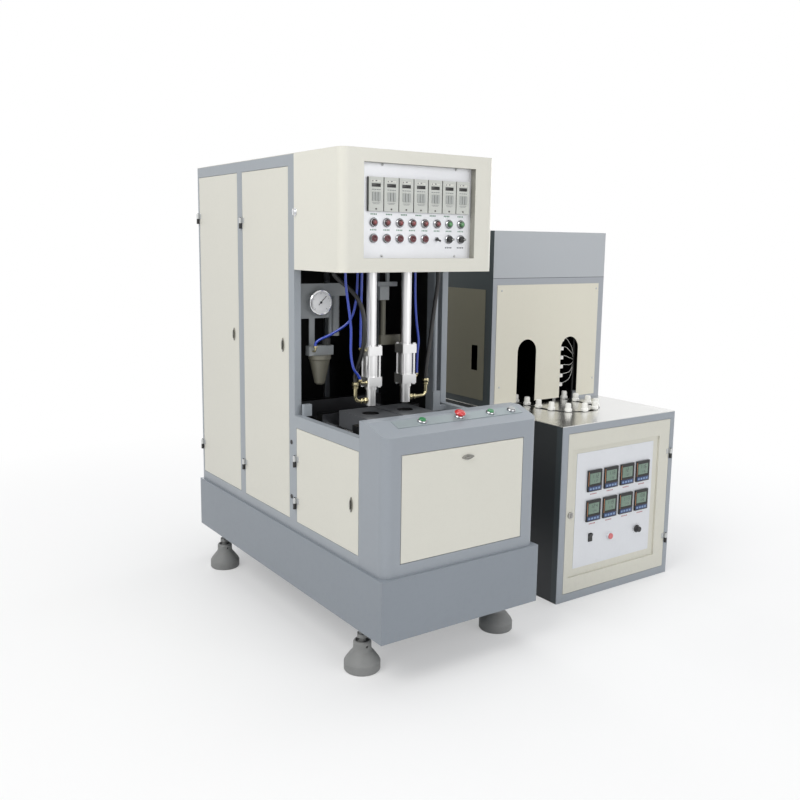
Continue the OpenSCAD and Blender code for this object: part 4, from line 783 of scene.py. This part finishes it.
# The clamp: a thick front platen and an end plate on the bed, tie bars, a moving platen and the steel moulds.
# They are blackened and ground steel; the guides and tie bars are bright.
gun_metal = metal("blackened_steel", paint_chip(78, 79, 82), rough=0.38, scratch=0.12, blotch=0.1)
dress(gun_metal, "clamp_bed", "moving_platen")
# The seats of the necks in the moulds are painted near black as painted shade in their recesses.
neck_recess_shade = []
for x in (left_cylinder, right_cylinder):
    neck_recess_shade.append(
        (press_spot(x - 33.2, 460.8, 836.5), press_spot(x + 33.2, 527.2, 844.7), paint_chip(12, 12, 13))
    )
mould_steel = satin_plate("ground_mould_steel", paint_chip(112, 114, 118), patches=neck_recess_shade)
dress(mould_steel, "front_moulds", "rear_moulds")
dress(metal("anodised_clamp_cylinder", paint_chip(176, 178, 180), rough=0.34, brushed=0.05), "clamp_cylinder")


# The heater: a welded frame with the grey coat, a cream door and a stainless table. Its side covers are
# painted charcoal, on the left as painted shade of the gap between the machines and on the right to match;
# the lift-off cream panel on the side of the column is painted olive-grey as painted shade.
heater_x, heater_y = 1018, 208


def heater_spot(x, y, z):
    """A place on the heater in the frame, from millimetres off the left front corner of its cabinet."""
    return press_spot(x + heater_x, y + heater_y, z)


# Painted shade: the left cover is charcoal with a slate strip at its front, for the gap between the machines.
side_shade_charcoal = paint_chip(44, 47, 50)
left_cover_shade = (heater_spot(-5, 3, -1), heater_spot(1.5, 1297, 760), side_shade_charcoal, 0.0)
left_edge_shade = (heater_spot(-5, 3, -1), heater_spot(1.5, 34, 760), paint_chip(58, 66, 70), 0.0)
right_cover_shade = (heater_spot(698.5, 32, 36), heater_spot(705, 1262, 725), side_shade_charcoal, 0.0)
inside_heater = (heater_spot(2.5, 29.5, 2.5), heater_spot(697.5, 1297.5, 760), paint_chip(122, 125, 128), 0.0)
cabinet_patches = [left_cover_shade, left_edge_shade, right_cover_shade, inside_heater]
dress(coat("grey_heater_coat", paint_chip(158, 164, 171), patches=cabinet_patches), "heater_cabinet")
# The inside of the column is painted near black as painted shade, as seen through the arches.
column_inside_shade = (heater_spot(2.5, 489, 755), heater_spot(697.5, 1297.5, 1547.5), paint_chip(22, 22, 23), 0.0)
top_box = (heater_spot(-5, 450, 1343), heater_spot(705, 1310, 1560), paint_chip(184, 188, 192), 0.0)
top_seam = (heater_spot(-5, 450, 1340.5), heater_spot(705, 1310, 1343), paint_chip(92, 96, 100), 0.0)
# The column's left side is painted dark slate as painted shade in the gap between the machines.
column_side_shade = (heater_spot(-5, 461.5, 750), heater_spot(0.5, 1310, 1560), paint_chip(62, 72, 77), 0.0)
column_patches = [top_box, top_seam, column_side_shade, column_inside_shade]
dress(coat("grey_column_coat", paint_chip(170, 174, 180), patches=column_patches), "heater_column")
dress(coat("cream_panel_coat", paint_chip(230, 226, 210), rough=0.36, drift=0.02), "arched_panel")
# The lift-off panel is cream, painted olive-grey as painted shade on the column's side.
dress(coat("cream_panel_painted_shade", paint_chip(128, 125, 108), rough=0.42, drift=0.06), "column_side_panel")
heater_hinge = (heater_spot(0, -30, 0), heater_spot(760, -0.05, 760), paint_chip(200, 202, 202), 1.0)
heater_cream = paint_chip(216, 214, 202)
heater_coat = coat("cream_heater_door_coat", heater_cream, rough=0.34, drift=0.02, patches=[heater_hinge])
dress(heater_coat, "heater_door")
dress(metal("heater_lock_casting", paint_chip(170, 169, 166), rough=0.18, scratch=0.02), "heater_door_lock")
dress(satin_plate("satin_heater_plate", paint_chip(222, 224, 228)), "heater_control_plate")
screw = cross_screw("arched_panel_screws", heater_spot(51, 459.6, 853), face_front, 9)
fit_out(spread(screw, other_corners(0.598, 0.434)), zinc)


# Eight temperature controllers: black moulded cases pushed through the plate from the front. Each has a
# grey-green display of two rows of figures, a blue strip of keys below it, and a thin orange trim.
dress(moulded("black_controller_case", paint_chip(24, 25, 26), rough=0.36), "temperature_controllers")
plate_front, display_front, key_front = 6.0, -1.2, -2.25
column_pitch, row_pitch = 101, 131
controllers = [(160 + column_pitch * i, 331 + row_pitch * j) for j in (1, 0) for i in range(4)]


def heater_block(name, low, high, **extra):
    """A bar between two corners of the heater drawing."""
    return block(name, heater_spot(*low) * 1000, heater_spot(*high) * 1000, **extra)


def eight(piece_name, low, high, material, edge=0.3):
    """The same small part on each of the eight controllers, given on the lower left one."""
    part = heater_block(piece_name, low, high, edge=edge)
    grid = [(i, j) for j in (0, 1) for i in range(4) if i or j]
    steps = [Vector((column_pitch * i, 0, row_pitch * j)) / 1000 for i, j in grid]
    return fit_out(spread(part, steps), material, "heater_door")


grey_green = moulded("grey_green_display", paint_chip(112, 136, 120), rough=0.25, texture=0.0, clear=0.4)
key_blue = moulded("blue_key_strip", paint_chip(32, 56, 104), rough=0.35, clear=0.3)
orange = moulded("orange_trim", paint_chip(214, 140, 84), rough=0.45)
eight("controller_displays", (168.3, display_front, 362.7), (233.7, 0.2, 409.7), grey_green)
eight("controller_key_strips", (163.5, key_front, 334.5), (238.5, -1.9, 352), key_blue, edge=0.1)
eight("controller_orange_marks", (160.6, -2.2, 356), (162.6, -1.95, 418), orange, edge=0.08)


# Figures on the displays: liquid crystal bars behind the display's glass, seven to a figure. The pale keys
# under them are moulded, and the captions on the plate are screen printed.
BARS = dict(zip("0123456789", "abcdef bc abged abgcd fgbc afgcd afgedc abc abcdefg abcdfg".split()))


def figure(digit, left, bottom, width, height, stroke):
    """The bars of one figure, each from left, bottom to right, top."""
    middle, right, top = bottom + height / 2, left + width, bottom + height
    spots = {
        "a": (left + stroke, top - stroke, right - stroke, top),
        "b": (right - stroke, middle + 0.3, right, top - stroke),
        "c": (right - stroke, bottom + stroke, right, middle - 0.3),
        "d": (left + stroke, bottom, right - stroke, bottom + stroke),
        "e": (left, bottom + stroke, left + stroke, middle - 0.3),
        "f": (left, middle + 0.3, left + stroke, top - stroke),
        "g": (left + stroke, middle - stroke / 2, right - stroke, middle + stroke / 2),
    }
    return [spots[bar] for bar in BARS[digit]]


readings = ["112", "118", "121", "116", "124", "119", "113", "108"]
bars = []
for (x, z), reading in zip(controllers, readings):
    for k, digit in enumerate(reading):
        bars += figure(digit, x + 22 + 15 * k, z + 56, 10, 18, 2.0)
        bars += figure(digit, x + 30 + 10 * k, z + 37, 7, 12, 1.4)
display_black = moulded("display_black", paint_chip(38, 44, 42), rough=0.4, texture=0.0)
printed("display_figures", bars, display_front, display_black, "heater_door", 0.08, heater_spot)
keys = [(x + 9 + 17 * k, z + 8, x + 20 + 17 * k, z + 16) for x, z in controllers for k in range(4)]
pale_keys = moulded("pale_blue_keys", paint_chip(126, 152, 188), rough=0.4)
printed("controller_keys", keys, key_front, pale_keys, "heater_door", 0.5, heater_spot)
words = [bar for x, z in controllers for bar in captions([x + 22], 8, 5.5, z - 16, 5)]
printed("controller_captions", words, plate_front, red_ink, "heater_door", 0.12, heater_spot)
dress(black_knob, "heater_switch", "heater_dial")
dress(moulded("red_heater_button", paint_chip(214, 110, 112), rough=0.3, clear=0.5), "heater_button")
marks = [(225 - i * 27, 20, 24.5, 1.0) for i in range(11)]
round_scale("heater_dial_scale", heater_spot(489, 5.95, 244), marks, 0.04, print_ink, "heater_door")


# The table, the conveyor and the lamps: a stainless plate with a slot all round, a chain with white holders
# that carry the preforms, and white ceramic holders with quartz heating tubes in front of stainless
# reflectors. The reflectors are painted near black as painted shade inside the column.
steel = metal("stainless_table", paint_chip(232, 232, 230), rough=0.2, brushed=0.06, along=(1.0, 30.0, 1.0))
dress(steel, "heater_table")
dress(metal("dark_chain_steel", paint_chip(92, 92, 94), rough=0.4, scratch=0.15, blotch=0.1), "chain_wheels")
ceramic = moulded("white_holder", paint_chip(248, 247, 242), rough=0.36, drift=0.02)
dress(ceramic, "preform_holders")
racks_at, reflector_shade_black, tube_grey = (132, 420), paint_chip(24, 24, 25), paint_chip(88, 84, 82)
# The reflectors are painted as a near black metal, as painted shade inside the column.
reflector_shade = [
    (heater_spot(x - 0.5, 480, 760), heater_spot(x + 3.2, 1110, 1200), reflector_shade_black, 1.0) for x in racks_at
]
tubes = [(heater_spot(x + 3.5, 523, 760), heater_spot(x + 26, 1072, 1200), tube_grey, 0.0) for x in racks_at]
rack_skin = {"rough": 0.4, "peel": 0.2, "grain": 400.0, "edge": 0.0008, "patches": reflector_shade + tubes}
dress(coat("lamp_rack_ceramic", paint_chip(232, 230, 222), **rack_skin), "lamp_racks")


# The leads of the lamps in the right mouth: each lamp ends in a white ceramic cap, from which a thin lead
# with a glass fibre sleeve bows to a black loom behind the right jamb. The loom stands on the table.
loom_rings = [(7, 0), (7, 4), (6.2, 6), (6.2, 330), (7, 332), (7, 336)]
fit_out(turned("wire_loom", loom_rings, heater_spot(556, 500, 760), sides=20), black_plastic)
lamps_per_rack, lamp_pitch = 6, 43
cap = heater_block("lamp_end_caps", (441, 478, 823), (467, 500, 841), edge=2.5)
fit_out(spread(cap, [Vector((0, 0, lamp_pitch * i / 1000)) for i in range(1, lamps_per_rack)]), ceramic)
lead_sleeve = moulded("white_lead_sleeve", paint_chip(214, 214, 208), rough=0.4, texture=0.1)
for i in range(lamps_per_rack):
    z = 832 + lamp_pitch * i
    fall = (2.5 - i) * 15
    bow = [(490, 482, 6 + fall * 0.15), (512, 483, fall * 0.6), (532, 488, fall * 1.2)]
    points = [(464, 486, 0), (474, 484, 7)] + bow + [(545, 495, fall * 1.8), (552, 500, fall * 2.1)]
    route = [(x + heater_x, y + heater_y, z + up) for x, y, up in points]
    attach(hose("lamp_lead_%d" % (i + 1), route, 2.4, lead_sleeve, 5), "frame")


# The conveyor's chain: a roller chain that lies flat, so its pins stand upright. An inner link is two waisted
# plates with two rollers between them, an outer link two plates riveted to two pins. It replaces the plain
# band.
def link_plate(name, pitch, width, low, thick):
    """One plate of a link: round ends about two pins, drawn in at the waist."""
    bpy.ops.object.select_all(action="DESELECT")
    half_side = (0, 0, math.pi / 20)
    bpy.ops.mesh.primitive_circle_add(
        vertices=20, radius=width / 2000, fill_type="NGON", location=(0, 0, low / 1000), rotation=half_side
    )
    plate = bpy.context.object
    plate.name = name
    bpy.ops.object.transform_apply(location=True, rotation=True, scale=True)
    for vertex in plate.data.vertices:
        beside = abs(vertex.co.x) < 0.25 * width / 1000
        vertex.co.y *= 0.86 if beside else 1.0
        vertex.co.x += pitch / 2000 * (1 if vertex.co.x > 0 else -1)
    bpy.ops.object.mode_set(mode="EDIT")
    bpy.ops.mesh.select_all(action="SELECT")
    bpy.ops.mesh.extrude_region_move(TRANSFORM_OT_translate={"value": (0.0, 0.0, thick / 1000)})
    bpy.ops.mesh.select_all(action="SELECT")
    bpy.ops.mesh.normals_make_consistent(inside=False)
    bpy.ops.object.mode_set(mode="OBJECT")
    return plate


chain_low, chain_high = 710.0, 736.0
run_radius, run_length, turn_y, track_x = 136.0, 766.0, 333.0, 350.0
turn_length = math.pi * run_radius
round_length = 2 * (turn_length + run_length)
links, plate_thick = 124, 1.6
pitch = round_length / links


def on_track(s):
    """The place on the conveyor's oval at this distance along it, in millimetres on the heater."""
    s %= round_length
    if s < turn_length:
        a = s / run_radius
        return track_x - run_radius * math.cos(a), turn_y - run_radius * math.sin(a)
    if s < turn_length + run_length:
        return track_x + run_radius, turn_y + s - turn_length
    s -= turn_length + run_length
    if s < turn_length:
        a = s / run_radius
        return track_x + run_radius * math.cos(a), turn_y + run_length + run_radius * math.sin(a)
    return track_x - run_radius, turn_y + run_length - (s - turn_length)


inner_levels, outer_levels = (chain_low + 2.9, chain_high - 4.5), (chain_low + 1.1, chain_high - 2.7)
inner = [link_plate("chain_links", pitch, 11.4, level, plate_thick) for level in inner_levels]
outer = [link_plate("chain_links", pitch, 11.0, level, plate_thick) for level in outer_levels]
for side in (-1, 1):
    roller_low, roller_high = chain_low + 4.5, chain_high - 4.5
    roller = [(4.4, roller_low), (6.0, roller_low + 0.5), (6.0, roller_high - 0.5), (4.4, roller_high)]
    pin = [(2.2, chain_low), (2.7, chain_low + 0.5), (2.7, chain_high - 0.5), (2.2, chain_high)]
    inner.append(turned("chain_links", roller, (side * pitch / 2000, 0, 0), upright, 16))
    outer.append(turned("chain_links", pin, (side * pitch / 2000, 0, 0), upright, 12))
chain = []
for k in range(links):
    (x0, y0), (x1, y1) = on_track(k * pitch), on_track((k + 1) * pitch)
    spot, turn_by = heater_spot((x0 + x1) / 2, (y0 + y1) / 2, 0), math.atan2(y1 - y0, x1 - x0)
    move = Matrix.Translation(spot) @ Matrix.Rotation(turn_by, 4, "Z")
    chain += [placed(part, move) for part in (outer if k % 2 else inner)]
for part in inner + outer:
    bpy.data.objects.remove(part)
roller_chain = joined(chain, "roller_chain")
bpy.ops.object.shade_smooth_by_angle(angle=math.radians(40))
oiled_steel = metal("oiled_chain_steel", paint_chip(124, 122, 118), rough=0.32, scratch=0.1, blotch=0.12)
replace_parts(fit_out(roller_chain, oiled_steel), "conveyor_chain")
